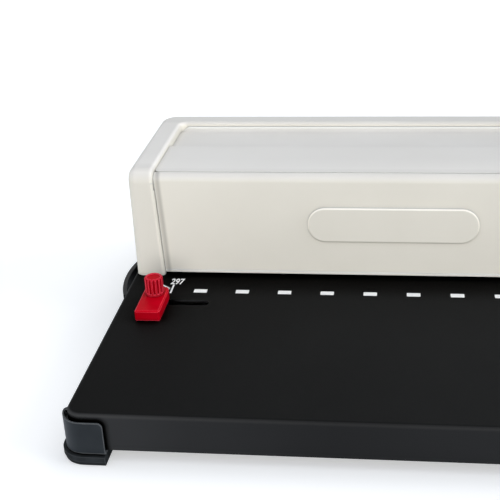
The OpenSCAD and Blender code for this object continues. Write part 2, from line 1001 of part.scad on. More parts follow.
module front_panel() {
    flange_top = tray_z - panel_nose;
    color("#d8d6cc")
        intersection() {
            union() {
                along_x(-open_top, open_top) panel_section();
                pill();
                difference() {
                    along_y(panel_y + cut, lip_y - cut) front_opening(seat_gap, panel_low, flange_top);
                    along_y(panel_y - cut, lip_y + cut)
                        front_opening(seat_gap + panel_flange, panel_low - cut, flange_top + cut);
                }
            }
            along_y(cover_front, lip_y + 2 * ledge_w) front_opening(seat_gap, panel_low, cover_top);
        }
}

// Cross-section of the top tray, drawn in Y and Z
module tray_section() {
    dish_z = tray_z - dish_drop;
    front = seam_y + seam_gap;
    back = tray_back - tray_gap;
    cove = 4;
    difference() {
        polygon([
            [front, tray_z], [crease_y, tray_z], [crease_y + crease_l, dish_z], [back - cove, dish_z],
            [back - cove, dish_z + cove / 4], [back, dish_z + cove - end_gap],
            [back, dish_z - tray_t], [crease_y + crease_l - cut, dish_z - tray_t],
            [crease_y - cut, tray_z - tray_t], [front, tray_z - tray_t]
        ]);
        translate([back - cove, dish_z + cove]) circle(cove + shave);
        translate([front, tray_z]) mirror([1, 0]) edge_cutter(seam_r);
    }
}

module top_tray() {
    r = 3;
    color("#dad9d4")
        intersection() {
            along_x(-open_top, open_top) tray_section();
            along_z(lip_z, cover_top)
                difference() {
                    tray_outline(tray_gap);
                    for (s = [-1, 1])
                        translate([s * (open_top - tray_gap - r), seam_y + seam_gap + r])
                            difference() {
                                translate([s > 0 ? 0 : -2 * r, -2 * r]) square(2 * r);
                                circle(r);
                            }
                }
        }
}

module cover_screws() {
    color("#c9ccd0")
        at_cover_bosses() slot_screw(under_z, top_z + cover_hole - 2 * cut, screw_head_d, screw_head_h);
}

// Rail with a lip over the drawer wall, s is minus one in front and plus one behind
module rail(s) {
    inner = drawer_in / 2 + rail_gap;
    color("#9a9da1")
        translate([0, drawer_y, 0]) mirror([0, s < 0 ? 1 : 0, 0]) {
            block([rail_start, inner, plate_top], [rail_end, inner + rail_t, rail_z + rail_t]);
            block([rail_start, inner - rail_lip, rail_z], [rail_end, inner + rail_t, rail_z + rail_t]);
        }
}

module rail_front() { rail(-1); }
module rail_back() { rail(1); }

module drive_shaft() {
    left_end = -frame_out - bush_flange_t - end_play - collar_w - lap;
    color("#b4b8bc")
        translate([0, shaft_y, shaft_z])
            difference() {
                rod_x(left_end, arm_out - lap, shaft_d);
                rod_x(arm_out - end_hole, arm_out + cut, end_screw_d + 2 * run);
                rotate([lever_lean, 0, 0])
                    block([arm_in, -shaft_d, flat_h], [arm_out + cut, shaft_d, shaft_d]);
                for (s = [-1, 1])
                    translate([s * pin_x, 0, 0]) rod_z(-shaft_d, shaft_d, pin_d);
            }
}

// Angle in degrees swept by an involute from the base circle out to radius r
function involute_angle(r) =
    sqrt(r * r / gear_base / gear_base - 1) * 180 / PI - acos(gear_base / r);

// Half angle of a tooth at radius r
function tooth_half(r) =
    90 / gear_n - flank_gap / gear_r / 2 * 180 / PI
    + involute_angle(gear_r) - involute_angle(max(r, gear_base));

// Point of a tooth flank at radius r and angle a
function flank_point(r, a) = r * [cos(a), sin(a)];

// Pinion outline with one tooth pointing to minus X
module gear_outline() {
    flank = [gear_root, for (k = [0 : flank_steps]) gear_base + (gear_out - gear_base) * k / flank_steps];
    last = len(flank) - 1;
    polygon([
        for (i = [0 : gear_n - 1])
            let (mid = 180 + i * 360 / gear_n)
                each [
                    for (k = [0 : last]) flank_point(flank[k], mid - tooth_half(flank[k])),
                    for (k = [last : -1 : 0]) flank_point(flank[k], mid + tooth_half(flank[k]))
                ]
    ]);
}

module pinion(s) {
    x0 = s * rack_x - gear_w / 2;
    boss0 = s > 0 ? x0 + gear_w : x0 - boss_w;
    color("#9ea2a7")
        translate([0, shaft_y, shaft_z])
            difference() {
                union() {
                    along_x(x0, x0 + gear_w) gear_outline();
                    rod_x(boss0, boss0 + boss_w, boss_d);
                    rod_x(x0 - cut, x0 + gear_w + cut, 2 * gear_root - end_gap);
                }
                rod_x(boss0 - 2 * gear_w, boss0 + 2 * gear_w, shaft_d);
                translate([s * pin_x, 0, 0]) rod_z(-boss_d, boss_d, pin_d);
            }
}

module pinion_left() { pinion(-1); }
module pinion_right() { pinion(1); }

module pinion_pins() {
    color("#4a4d51")
        for (s = [-1, 1])
            translate([s * pin_x, shaft_y, shaft_z])
                rod_z(-boss_d / 2 + pin_in, boss_d / 2 - pin_in, pin_d);
}

module shaft_collar() {
    x1 = -frame_out - bush_flange_t - end_play;
    color("#8d9196")
        translate([0, shaft_y, shaft_z])
            difference() {
                rod_x(x1 - collar_w, x1, bush_flange_d);
                rod_x(x1 - collar_w - cut, x1 + cut, shaft_d);
            }
}

module lever_spacer() {
    color("#2a2c2f")
        translate([0, shaft_y, shaft_z])
            difference() {
                rod_x(frame_out + bush_flange_t + end_play, arm_in, bush_flange_d);
                rod_x(frame_out, arm_in + cut, shaft_d);
            }
}

module at_lever() {
    translate([0, shaft_y, shaft_z]) rotate([-lever_lean, 0, 0]) children();
}

// Tang of the lever arm, which the grip is moulded on
module tang(low) {
    block([lever_x - tang_t / 2, -tang_w / 2, low], [lever_x + tang_t / 2, tang_w / 2, grip_low + tang_l]);
}

module lever_arm() {
    color("#a3a7ac")
        difference() {
            at_lever() {
                rod_x(arm_in, arm_out, hub_d);
                block([arm_in, -strap_w / 2, 0], [arm_out, strap_w / 2, grip_low]);
                tang(grip_low - cut);
            }
            translate([0, shaft_y, shaft_z])
                difference() {
                    rod_x(arm_in - cut, arm_out + cut, shaft_d);
                    rotate([lever_lean, 0, 0])
                        block([arm_in - 2 * cut, -shaft_d, flat_h], [arm_out + 2 * cut, shaft_d, shaft_d]);
                }
        }
}

module lever_grip() {
    mid = grip_low + grip_l / 2;
    color("#17181a")
        at_lever()
            difference() {
                intersection() {
                    translate([lever_x, 0, grip_low])
                        linear_extrude(grip_l) rotate(90) stadium(grip_w, grip_t);
                    along_x(lever_x - grip_t, lever_x + grip_t)
                        translate([0, mid]) rounded(grip_w, grip_l, grip_side_r);
                    along_y(-grip_w, grip_w)
                        translate([lever_x, mid]) rounded(grip_t, grip_l, grip_edge_r);
                }
                tang(grip_low - cut);
            }
}

module lever_screw() {
    color("#5a5d61")
        translate([arm_out, shaft_y, shaft_z]) {
            rod_x(-end_hole + cut, coil_gap, end_screw_d);
            translate([coil_gap, 0, 0]) rotate([0, 90, 0]) socket_head(end_head_d, end_head_h, end_key);
        }
}

module ram() {
    color("#868b91")
        difference() {
            block([-head_half, ram_front, ram_z], [head_half, ram_back, ram_top]);
            punch_holes(ram_z - cut, ram_top + cut, 0);
            at_posts() rod_z(ram_z - cut, ram_top + cut, post_d + 2 * run);
            at_posts() rod_z(ram_z - cut, ram_z + pocket_h, pocket_d);
            at_rack_screws() rod_y(ram_front - cut, ram_back + cut, screw_d + 2 * fit);
            at_retainer_screws() rod_z(ram_top - set_l - lap, ram_top + cut, set_d);
            at_arm_screws() rod_y(ram_back - thread_l - lap, ram_back + cut, screw_d + 2 * fit);
        }
}

module at_rack_screws() {
    for (s = [-1, 1], z = row_z)
        translate([s * rack_x, 0, ram_z + z]) children();
}

module at_retainer_screws() {
    for (s = [-1, 1], x = [set_steps * hole_pitch, line_half - set_steps * hole_pitch])
        translate([s * x, punch_y, 0]) children();
}

module at_arm_screws() {
    for (s = [-1, 1], z = row_z)
        translate([s * (arm_x + arm_t / 2 + arm_foot_w / 2), 0, ram_z + z]) children();
}

// Punches with tips cut to three heights in turn
module punches() {
    color("#c4c8cc")
        for (i = [0 : hole_count - 1])
            translate([i * hole_pitch - line_half, punch_y, 0])
                block([-punch_w / 2, -punch_t / 2, throat_z + tip_gap + tip_step * (i % 3)],
                      [punch_w / 2, punch_t / 2, ram_top]);
}

module punch_retainer() {
    half = post_x - post_head_d / 2 - cut;
    color("#9a9da1")
        difference() {
            block([-half, ram_front + retainer_in, ram_top],
                  [half, ram_back - retainer_in, ram_top + retainer_t]);
            at_retainer_screws() rod_z(ram_top - cut, ram_top + retainer_t + cut, set_d + 2 * fit);
        }
}

module retainer_screws() {
    seat = ram_top + retainer_t;
    color("#33363a")
        at_retainer_screws() {
            rod_z(ram_top - set_l, seat, set_d - fit);
            translate([0, 0, seat]) socket_head(set_head_d, set_head_h, set_d);
        }
}

// Toothed edge of the rack, drawn in Y and Z, with a gap at the height of the shaft
module rack_outline() {
    pitch = PI * gear_m;
    half = pitch / 4 - flank_gap / 2;
    slope = tan(pressure);
    root = rack_line - rack_ded;
    tip = rack_line + rack_add;
    foot = root - end_gap;
    foot_half = half + (rack_ded + end_gap) * slope;
    intersection() {
        union() {
            translate([ram_back, ram_z]) square([root - ram_back, rack_l]);
            for (k = [-4 : 6])
                translate([0, shaft_z + (k + 0.5) * pitch])
                    polygon([
                        [foot, -foot_half], [tip, -half + rack_add * slope],
                        [tip, half - rack_add * slope], [foot, foot_half]
                    ]);
        }
        translate([ram_back, ram_z]) square([tip - ram_back, rack_l]);
    }
}

module rack(s) {
    color("#a4a8ad")
        difference() {
            along_x(s * rack_x - rack_w / 2, s * rack_x + rack_w / 2) rack_outline();
            at_rack_screws() rod_y(ram_back - cut, ram_back + thread_l + lap, screw_d + 2 * fit);
        }
}

module rack_left() { rack(-1); }
module rack_right() { rack(1); }

module rack_screws() {
    color("#33363a")
        at_rack_screws() {
            rod_y(ram_front, ram_back + thread_l, screw_d);
            translate([0, ram_front, 0])
                rotate([90, 0, 0]) socket_head(screw_head_d, cap_head_h, screw_head_d / 2);
        }
}

// Bent strap from the ram over the shaft to the press bar
module closer_arm() {
    foot_x1 = arm_x + arm_t / 2 + arm_foot_w;
    leg_y = ram_back + arm_leg;
    tab_z = bar_z + bar_h;
    color("#7c8187")
        difference() {
            union() {
                along_x(arm_x - arm_t / 2, arm_x + arm_t / 2)
                    polygon([
                        [ram_back, ram_z], [leg_y, ram_z], [leg_y, arm_low - bend_in],
                        [leg_y + bend_in, arm_low], [bar_y[0] - bend_in, arm_low],
                        [bar_y[0], arm_low - bend_in], [bar_y[0], tab_z],
                        [bar_y[1], tab_z], [bar_y[1], arm_top - bend_out],
                        [bar_y[1] - bend_out, arm_top], [ram_back + bend_out, arm_top],
                        [ram_back, arm_top - bend_out]
                    ]);
                block([arm_x, ram_back, ram_z], [foot_x1, ram_back + arm_t, ram_top]);
                block([arm_x, bar_y[0], tab_z], [foot_x1, bar_y[1], tab_z + bar_tab]);
            }
            at_arm_screws() rod_y(ram_back - cut, ram_back + arm_t + cut, screw_d + 2 * fit);
            at_bar_screws() rod_z(bar_z, tab_z + bar_tab + cut, screw_d + 2 * fit);
        }
}

module at_bar_screws() {
    for (s = [-1, 1])
        translate([s * (arm_x + arm_t / 2 + arm_foot_w / 2), (bar_y[0] + bar_y[1]) / 2, 0]) children();
}

module closer_arm_left() { on_side(-1) closer_arm(); }
module closer_arm_right() { on_side(1) closer_arm(); }

module arm_screws() {
    seat_z = bar_z + bar_h + bar_tab;
    color("#33363a") {
        at_arm_screws() {
            rod_y(ram_back - thread_l, ram_back + arm_t, screw_d);
            translate([0, ram_back + arm_t, 0])
                rotate([-90, 0, 0]) socket_head(screw_head_d - end_gap, screw_head_h, screw_head_d / 2);
        }
        at_bar_screws() {
            rod_z(seat_z - bar_tab - thread_l, seat_z, screw_d);
            translate([0, 0, seat_z]) socket_head(screw_head_d, screw_head_h, screw_head_d / 2);
        }
    }
}

module press_bar() {
    color("#6f747a")
        difference() {
            block([-bar_half, bar_y[0], bar_z], [bar_half, bar_y[1], bar_z + bar_h]);
            at_bar_screws() rod_z(bar_z + bar_h - thread_l - lap, bar_z + bar_h + cut, screw_d + 2 * fit);
        }
}

coil_lo = guide_top + wire_d / 2 + coil_gap;
coil_hi = ram_z + pocket_h - wire_d / 2 - coil_gap;
echo(spring_gap = (coil_hi - coil_lo) / coil_turns - wire_d);

// Return spring, a six-sided tube along a helix
module spring_tube() {
    last = coil_turns * coil_steps;
    ring = [
        for (i = [0 : last], j = [0 : coil_sides - 1])
            let (
                a = i * 360 / coil_steps,
                b = j * 360 / coil_sides,
                r = coil_r + wire_d / 2 * cos(b),
                z = coil_lo + (coil_hi - coil_lo) * i / last + wire_d / 2 * sin(b)
            )
                [r * cos(a), r * sin(a), z]
    ];
    walls = [
        for (i = [0 : last - 1], j = [0 : coil_sides - 1])
            let (k = (j + 1) % coil_sides, here = i * coil_sides, next = here + coil_sides)
                [here + j, next + j, next + k, here + k]
    ];
    caps = [
        [for (j = [0 : coil_sides - 1]) j],
        [for (j = [coil_sides - 1 : -1 : 0]) last * coil_sides + j]
    ];
    polyhedron(points = ring, faces = concat(walls, caps));
}

module spring_left() {
    color("#b9bdc1") translate([-post_x, punch_y, 0]) spring_tube();
}

module spring_right() {
    color("#b9bdc1") translate([post_x, punch_y, 0]) spring_tube();
}

module drawer_tray() {
    x0 = -half_w + lap;
    color("#232427")
        translate([0, drawer_y, 0])
            difference() {
                block([x0, -drawer_in / 2, drawer_z], [drawer_end, drawer_in / 2, drawer_top]);
                block([x0 + drawer_wall, -drawer_in / 2 + drawer_wall, drawer_z + drawer_wall],
                      [drawer_end - drawer_wall, drawer_in / 2 - drawer_wall, drawer_top + cut]);
            }
}

// Face of the drawer with a bowed pull, the bow is drawn in X and Y
module pull_outline(inset) {
    rise = pull_out - pull_end;
    half = drawer_w / 2;
    r = half * half / 2 / rise + rise / 2;
    intersection() {
        translate([-half_w - pull_out + r, 0]) circle(r - inset, $fn = 200);
        translate([-half_w - pull_out - cut, -half + inset])
            square([pull_out + cut, drawer_w - 2 * inset]);
    }
}

module drawer_front() {
    color("#1f2023")
        translate([0, drawer_y, 0]) {
            block([face_x - face_t, -drawer_w / 2, apron_z + face_low],
                  [face_x, drawer_w / 2, drawer_top + face_over]);
            block([face_x - end_gap, -drawer_in / 2, drawer_z],
                  [-half_w + lap, drawer_in / 2, drawer_top]);
            intersection() {
                along_z(apron_z + pull_low, apron_z + pull_low + pull_h)
                    difference() {
                        pull_outline(0);
                        pull_outline(pull_wall);
                    }
                block([-half_w - 2 * pull_out, -drawer_w, 0], [face_x - face_t + lap, drawer_w, top_z]);
            }
        }
}

// Block section with two chamfered upper edges
module guide_section(w) {
    c = guide_edge;
    polygon([
        [-w / 2, guide_low], [w / 2, guide_low], [w / 2, guide_high - c],
        [w / 2 - c, guide_high], [-w / 2 + c, guide_high], [-w / 2, guide_high - c]
    ]);
}

// Plan of the guide block, its back corners have a larger radius
module guide_plan() {
    r = guide_back_r;
    intersection() {
        rounded(guide_w, guide_l, guide_r);
        union() {
            translate([-guide_w / 2, -guide_l / 2]) square([guide_w, guide_l - r]);
            translate([-guide_w / 2 + r, -guide_l / 2]) square([guide_w - 2 * r, guide_l]);
            for (s = [-1, 1])
                translate([s * (guide_w / 2 - r), guide_l / 2 - r]) circle(r);
        }
    }
}

module guide_block() {
    color("#b80f1e")
        translate([guide_x, guide_y, 0])
            difference() {
                union() {
                    intersection() {
                        along_z(guide_low, guide_high) guide_plan();
                        along_x(-guide_w, guide_w) guide_section(guide_l);
                        along_y(-guide_l, guide_l) guide_section(guide_w);
                    }
                    translate([0, slot_y - guide_y, 0])
                        along_z(under_z + key_gap, guide_low + cut) stadium(key_l, slot_w - 2 * fit);
                }
                translate([0, slot_y - guide_y, 0])
                    rod_z(under_z - cut, guide_high + cut, stud_d + 2 * run);
            }
}

module guide_nut() {
    high = under_z - fit;
    color("#9a9da1")
        translate([guide_x, slot_y, 0])
            difference() {
                block([-nut_w / 2, -nut_w / 2, high - nut_t], [nut_w / 2, nut_w / 2, high]);
                rod_z(high - nut_t - cut, high + cut, stud_d + 2 * run);
            }
}

module guide_knob() {
    rim = knob_top - knob_edge;
    color("#c01424")
        translate([guide_x, slot_y, 0])
            difference() {
                union() {
                    rod_z(knob_low, rim, knob_d);
                    translate([0, 0, rim])
                        cylinder(d1 = knob_d, d2 = knob_d - 2 * knob_edge, h = knob_edge);
                }
                for (i = [0 : knob_ribs - 1])
                    rotate(i * 360 / knob_ribs) translate([knob_d / 2, 0, 0])
                        rod_z(knob_low + rib_low, knob_top + cut, rib_d);
                rod_z(knob_low - cut, knob_top - knob_cap, stud_d);
                rod_z(knob_top - knob_dish, knob_top + cut, knob_d - rib_d - 2 * knob_rim);
            }
}

module guide_stud() {
    color("#b9bdc1")
        translate([guide_x, slot_y, 0])
            rod_z(under_z - nut_t - stud_tail, knob_top - knob_cap, stud_d);
}

table();
base_plate();
pillars();
guard_front_left();
guard_front_right();
guard_back_left();
guard_back_right();
foot_front_left();
foot_front_right();
foot_back_left();
foot_back_right();
foot_screws();
frame_left();
frame_right();
table_screws();
bush_left();
bush_right();
die_plate();
throat_shim();
guide_plate();
head_bolts();
post_left();
post_right();
anvil();
cover_shell();
front_panel();
top_tray();
cover_screws();
rail_front();
rail_back();
drive_shaft();
pinion_left();
pinion_right();
pinion_pins();
shaft_collar();
lever_spacer();
lever_arm();
lever_grip();
lever_screw();
ram();
punches();
punch_retainer();
retainer_screws();
rack_left();
rack_right();
rack_screws();
closer_arm_left();
closer_arm_right();
arm_screws();
press_bar();
spring_left();
spring_right();
drawer_tray();
drawer_front();
guide_block();
guide_nut();
guide_knob();
guide_stud();
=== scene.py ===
# %% [markdown]
# # A desk punch and wire closer
# This lesson dresses a machine that punches a row of holes in sheets and closes a wire comb in them. The
# solids come from the construction program and stay where they are, so here they only get their finish.
# What the solids lack is modelled: the white print on the table, the round wire of the return springs,
# the rings of the lever's grip, the crisp edge of the badge and the lips that close a seam. All lengths
# are in metres.

# %% Load the frame
import bpy
import json
from math import atan2, hypot, radians
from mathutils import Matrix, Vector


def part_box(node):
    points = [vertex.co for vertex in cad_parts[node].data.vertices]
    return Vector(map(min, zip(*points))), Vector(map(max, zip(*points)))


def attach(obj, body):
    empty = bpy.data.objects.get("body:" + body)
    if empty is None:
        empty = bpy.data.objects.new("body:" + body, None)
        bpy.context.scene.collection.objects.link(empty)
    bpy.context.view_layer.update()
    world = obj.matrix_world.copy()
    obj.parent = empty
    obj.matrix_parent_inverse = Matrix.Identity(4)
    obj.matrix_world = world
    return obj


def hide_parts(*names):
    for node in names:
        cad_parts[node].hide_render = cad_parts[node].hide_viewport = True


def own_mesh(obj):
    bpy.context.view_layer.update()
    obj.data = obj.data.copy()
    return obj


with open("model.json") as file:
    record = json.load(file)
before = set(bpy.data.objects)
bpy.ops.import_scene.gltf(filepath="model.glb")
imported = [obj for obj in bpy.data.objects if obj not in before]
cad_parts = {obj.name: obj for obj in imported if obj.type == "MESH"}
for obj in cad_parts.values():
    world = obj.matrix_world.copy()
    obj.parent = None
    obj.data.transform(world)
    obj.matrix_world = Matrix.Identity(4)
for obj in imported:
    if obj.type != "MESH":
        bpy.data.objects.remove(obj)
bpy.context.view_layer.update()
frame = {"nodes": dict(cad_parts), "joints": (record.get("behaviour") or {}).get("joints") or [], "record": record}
node = frame["nodes"]
bpy.ops.object.select_all(action="DESELECT")
print("pieces loaded:", len(node))

# %% [markdown]
# ## Camera
# The picture is taken from the front, a little above the machine, with a lens of medium length. The
# machine stands to the right of the middle and runs out of the picture, so the lens is shifted a little.
# Turning the camera would do the same, but then the upright edges would lean more than they should.

# %% Camera
SENSOR_MM, LENS_MM = 36, 71.75
LENS_SHIFT = -0.06
NEAREST_SEEN = 0.02
CAMERA_PLACE = (-0.00116, -0.59036, 0.34147)
CAMERA_TILT, CAMERA_ROLL, CAMERA_TURN = 64.75, 2.0, 6.07

lens = bpy.data.cameras.new("camera")
lens.sensor_width = SENSOR_MM
lens.lens = LENS_MM
lens.shift_x = LENS_SHIFT
lens.clip_start = NEAREST_SEEN
camera = bpy.data.objects.new("camera", lens)
camera.location = CAMERA_PLACE
camera.rotation_euler = [radians(a) for a in (CAMERA_TILT, CAMERA_ROLL, CAMERA_TURN)]
bpy.context.scene.collection.objects.link(camera)
bpy.context.scene.camera = camera
bpy.context.scene.view_settings.view_transform = "Standard"
print("camera stands at", tuple(camera.location))

# %% [markdown]
# ## Floor
# A product table is a plain pale sheet. A plane far larger than the machine is enough, because only its colour and
# the soft shadow on it are seen. To the eye it is lifted a little, so that it runs into the white behind.

# %% Floor
FLOOR_WIDE = 12
FLOOR_DROP = 0.0003
FLOOR_GREY = (0.78, 0.78, 0.78, 1)
FLOOR_LIFT = 0.42

bpy.ops.mesh.primitive_plane_add(size=FLOOR_WIDE, location=(0, 0, -FLOOR_DROP))
floor = bpy.context.object
floor.name = "floor"
floor_paper = bpy.data.materials.new("floor_paper")
floor_paper.use_nodes = True
paper = floor_paper.node_tree.nodes["Principled BSDF"]
paper.inputs["Base Color"].default_value = FLOOR_GREY
paper.inputs["Roughness"].default_value = 0.9
paper.inputs["Specular IOR Level"].default_value = 0.0
paper.inputs["Emission Color"].default_value = (1, 1, 1, 1)
ray_kind = floor_paper.node_tree.nodes.new("ShaderNodeLightPath")
lift = floor_paper.node_tree.nodes.new("ShaderNodeMath")
lift.operation = "MULTIPLY"
lift.inputs[1].default_value = FLOOR_LIFT
floor_paper.node_tree.links.new(ray_kind.outputs["Is Camera Ray"], lift.inputs[0])
floor_paper.node_tree.links.new(lift.outputs[0], paper.inputs["Emission Strength"])
floor.data.materials.append(floor_paper)
print("floor is", floor.dimensions.x, "m wide")

# %% [markdown]
# ## Light
# A studio uses large soft boxes. A sun lamp with a wide angle gives the same soft shadow and lights the
# floor evenly as far as it goes. The world is white to the eye and in reflections, and weaker where it
# lights the surfaces, so that the paints keep the colour they are given. One box hangs overhead and a
# little behind, which leaves the table dark in front of the housing, one stands in front and one on the
# right. A weak one on the left keeps that side from going grey.

# %% World
WORLD_TINT = (0.79, 0.875, 1, 1)
WORLD_LIGHT = 0.535

world = bpy.data.worlds.new("studio")
bpy.context.scene.world = world
world.use_nodes = True
wn, wl = world.node_tree.nodes, world.node_tree.links
white = wn["Background"]
white.inputs["Color"].default_value = (1, 1, 1, 1)
white.inputs["Strength"].default_value = 1.0
dim = wn.new("ShaderNodeBackground")
dim.inputs["Color"].default_value = WORLD_TINT
dim.inputs["Strength"].default_value = WORLD_LIGHT
path = wn.new("ShaderNodeLightPath")
either = wn.new("ShaderNodeMath")
either.operation = "MAXIMUM"
wl.new(path.outputs["Is Camera Ray"], either.inputs[0])
wl.new(path.outputs["Is Glossy Ray"], either.inputs[1])
seen = wn.new("ShaderNodeMath")
seen.operation = "MAXIMUM"
wl.new(either.outputs[0], seen.inputs[0])
wl.new(path.outputs["Is Transmission Ray"], seen.inputs[1])
choose = wn.new("ShaderNodeMixShader")
wl.new(seen.outputs[0], choose.inputs[0])
wl.new(dim.outputs[0], choose.inputs[1])
wl.new(white.outputs[0], choose.inputs[2])
wl.new(choose.outputs[0], wn["World Output"].inputs["Surface"])
print("world is white to the eye, light on surfaces", WORLD_LIGHT)

# %% Lamps
def soft_box(name, strength, angle, tilt, turn, color):
    lamp = bpy.data.lights.new(name, "SUN")
    lamp.energy = strength
    lamp.angle = radians(angle)
    lamp.color = color
    box = bpy.data.objects.new(name, lamp)
    box.rotation_euler = (radians(tilt), 0, radians(turn))
    bpy.context.scene.collection.objects.link(box)


soft_box("overhead_light", 0.55, 40, 35, 140, (1, 0.99, 0.97))
soft_box("front_light", 2.36, 40, 82, 0, (1, 0.98, 0.935))
soft_box("right_light", 1.55, 40, 68, 88, (0.98, 0.99, 1))
soft_box("left_light", 0.5, 60, 80, -88, (1, 0.99, 0.98))

# %% [markdown]
# ## Tools for the finishes
# Moulded plastic, powder paint and ground steel all have fine variation in colour, gloss and height. Each finish
# below mixes the same few nodes. They read Object coordinates in metres, so a noise scale of 1000 gives grains of
# about a millimetre on every piece. The Bevel node rounds the shading of sharp edges, as tumbling and painting do.
# Where it differs from the true normal, the edge gets a paler colour: a painted highlight on the plastics and the
# paint, and a worn bright edge on the steels. A tone that runs along an axis darkens or lightens a finish by place
# or by the tilt of the surface, and the finishes here use it for painted light and shade.

# %% Node helpers
def start_finish(name, metallic=0.0, specular=0.5):
    mat = bpy.data.materials.new(name)
    mat.use_nodes = True
    shader = mat.node_tree.nodes["Principled BSDF"]
    shader.inputs["Metallic"].default_value = metallic
    shader.inputs["Specular IOR Level"].default_value = specular
    return mat, shader


def add_node(mat, kind, **sockets):
    made = mat.node_tree.nodes.new("ShaderNode" + kind)
    for key, value in sockets.items():
        made.inputs[key.replace("_", " ")].default_value = value
    return made


def wire(mat, out, into):
    mat.node_tree.links.new(out, into)


def object_place(mat, stretch=(1, 1, 1)):
    coords = add_node(mat, "TexCoord")
    mapping = add_node(mat, "Mapping", Scale=stretch)
    wire(mat, coords.outputs["Object"], mapping.inputs["Vector"])
    return mapping.outputs["Vector"]


def grain(mat, place, scale, detail=3.0):
    tex = add_node(mat, "TexNoise", Scale=scale, Detail=detail)
    wire(mat, place, tex.inputs["Vector"])
    return tex.outputs["Fac"]


print("helpers ready")

# %% Colour, gloss and height
def colour_steps(mat, fac, stops):
    ramp = add_node(mat, "ValToRGB")
    while len(ramp.color_ramp.elements) < len(stops):
        ramp.color_ramp.elements.new(0.5)
    for element, (place, tone) in zip(ramp.color_ramp.elements, stops):
        element.position = place
        element.color = (*tone, 1)
    wire(mat, fac, ramp.inputs["Fac"])
    return ramp.outputs["Color"]


def colour_between(mat, fac, dark, light, low=0.35, high=0.65):
    return colour_steps(mat, fac, [(low, dark), (high, light)])


def times(mat, color, shade):
    mix = add_node(mat, "Mix")
    mix.data_type = "RGBA"
    mix.blend_type = "MULTIPLY"
    mix.inputs["Factor"].default_value = 1.0
    wire(mat, color, mix.inputs[6])
    wire(mat, shade, mix.inputs[7])
    return mix.outputs[2]


def gloss_between(mat, shader, fac, low, high):
    spread = add_node(mat, "MapRange", From_Min=0.3, From_Max=0.7, To_Min=low, To_Max=high)
    wire(mat, fac, spread.inputs["Value"])
    wire(mat, spread.outputs["Result"], shader.inputs["Roughness"])


def round_and_bump(mat, shader, fac, radius, height, strength):
    bevel = add_node(mat, "Bevel", Radius=radius)
    bevel.samples = 8
    bump = add_node(mat, "Bump", Distance=height, Strength=strength)
    wire(mat, fac, bump.inputs["Height"])
    wire(mat, bevel.outputs["Normal"], bump.inputs["Normal"])
    wire(mat, bump.outputs["Normal"], shader.inputs["Normal"])
    return bevel


def edge_share(mat, bevel, start=0.02, end=0.16):
    true = add_node(mat, "NewGeometry")
    dot = add_node(mat, "VectorMath")
    dot.operation = "DOT_PRODUCT"
    wire(mat, bevel.outputs["Normal"], dot.inputs[0])
    wire(mat, true.outputs["Normal"], dot.inputs[1])
    share = add_node(mat, "MapRange", From_Min=1 - start, From_Max=1 - end, To_Min=0.0, To_Max=1.0)
    wire(mat, dot.outputs["Value"], share.inputs["Value"])
    return share.outputs["Result"]


def turn_into(mat, share, first, second):
    mix = add_node(mat, "Mix")
    mix.data_type = "RGBA"
    wire(mat, share, mix.inputs["Factor"])
    wire(mat, first, mix.inputs[6])
    if isinstance(second, tuple):
        mix.inputs[7].default_value = (*second, 1)
    else:
        wire(mat, second, mix.inputs[7])
    return mix.outputs[2]


# Mixes a paler colour in along edges: a painted highlight on the plastics and the paint, and a worn bright edge on
# the steels.
def edge_highlight_and_wear(mat, shader, color, edge, light):
    wire(mat, turn_into(mat, edge, color, light), shader.inputs["Base Color"])


print("colour, gloss and height helpers ready")

# %% Tones by place and tilt
def along(mat, vector, axis, start, end, low, high):
    split = add_node(mat, "SeparateXYZ")
    wire(mat, vector, split.inputs["Vector"])
    spread = add_node(mat, "MapRange", From_Min=start, From_Max=end, To_Min=low, To_Max=high)
    wire(mat, split.outputs[axis], spread.inputs["Value"])
    return spread.outputs["Result"]


def tone_along(mat, vector, axis, stops):
    first, last = stops[0][0], stops[-1][0]
    share = along(mat, vector, axis, first, last, 0.0, 1.0)
    return colour_steps(mat, share, [((at - first) / (last - first), (tone,) * 3) for at, tone in stops])


print("tone helpers ready")

# %% [markdown]
# ## Painted shade in the corners
# Where two pieces meet, less light reaches, so every finish is painted darker there: this is painted shade. The
# Ambient Occlusion node measures how closed in a point is within a given reach. A painted mask would do as well,
# but it would have to be drawn again for each piece.

# %% Corner helper
# Darkens the colour where a point is closed in: painted shade.
def painted_occlusion_shade(mat, color, reach, stops):
    near = add_node(mat, "AmbientOcclusion")
    near.samples = 8
    if isinstance(reach, float):
        near.inputs["Distance"].default_value = reach
    else:
        wire(mat, reach, near.inputs["Distance"])
    return times(mat, color, colour_steps(mat, near.outputs["AO"], [(a, (b,) * 3) for a, b in stops]))


print("corner helper ready")

# %% [markdown]
# ## Black powder paint
# The table is folded steel sheet with a baked black powder coat: satin, with a fine pebble in its surface. Its
# tone follows the tilt of the surface as painted light: the folds get a painted highlight, the apron is painted
# paler than the flat top, and a painted dark line lies where the top turns into the fold. As a painted sheen, the
# top is painted darker on the left and greyer towards the right, and the folds and edges on the left are painted
# paler. The edges get a painted highlight, and painted shade goes on last, far on the flat top, less far in the
# slot and hardly at all on the front edge.
# A photograph of the paint would do, but noise nodes follow the piece in every view.

# %% Table paint
FLAT_REACH = 0.025
SLOT_REACH = 0.010
FRONT_REACH = 0.004
table_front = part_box("table")[0].y
front_end, slot_start = table_front + 0.01, table_front + 0.03

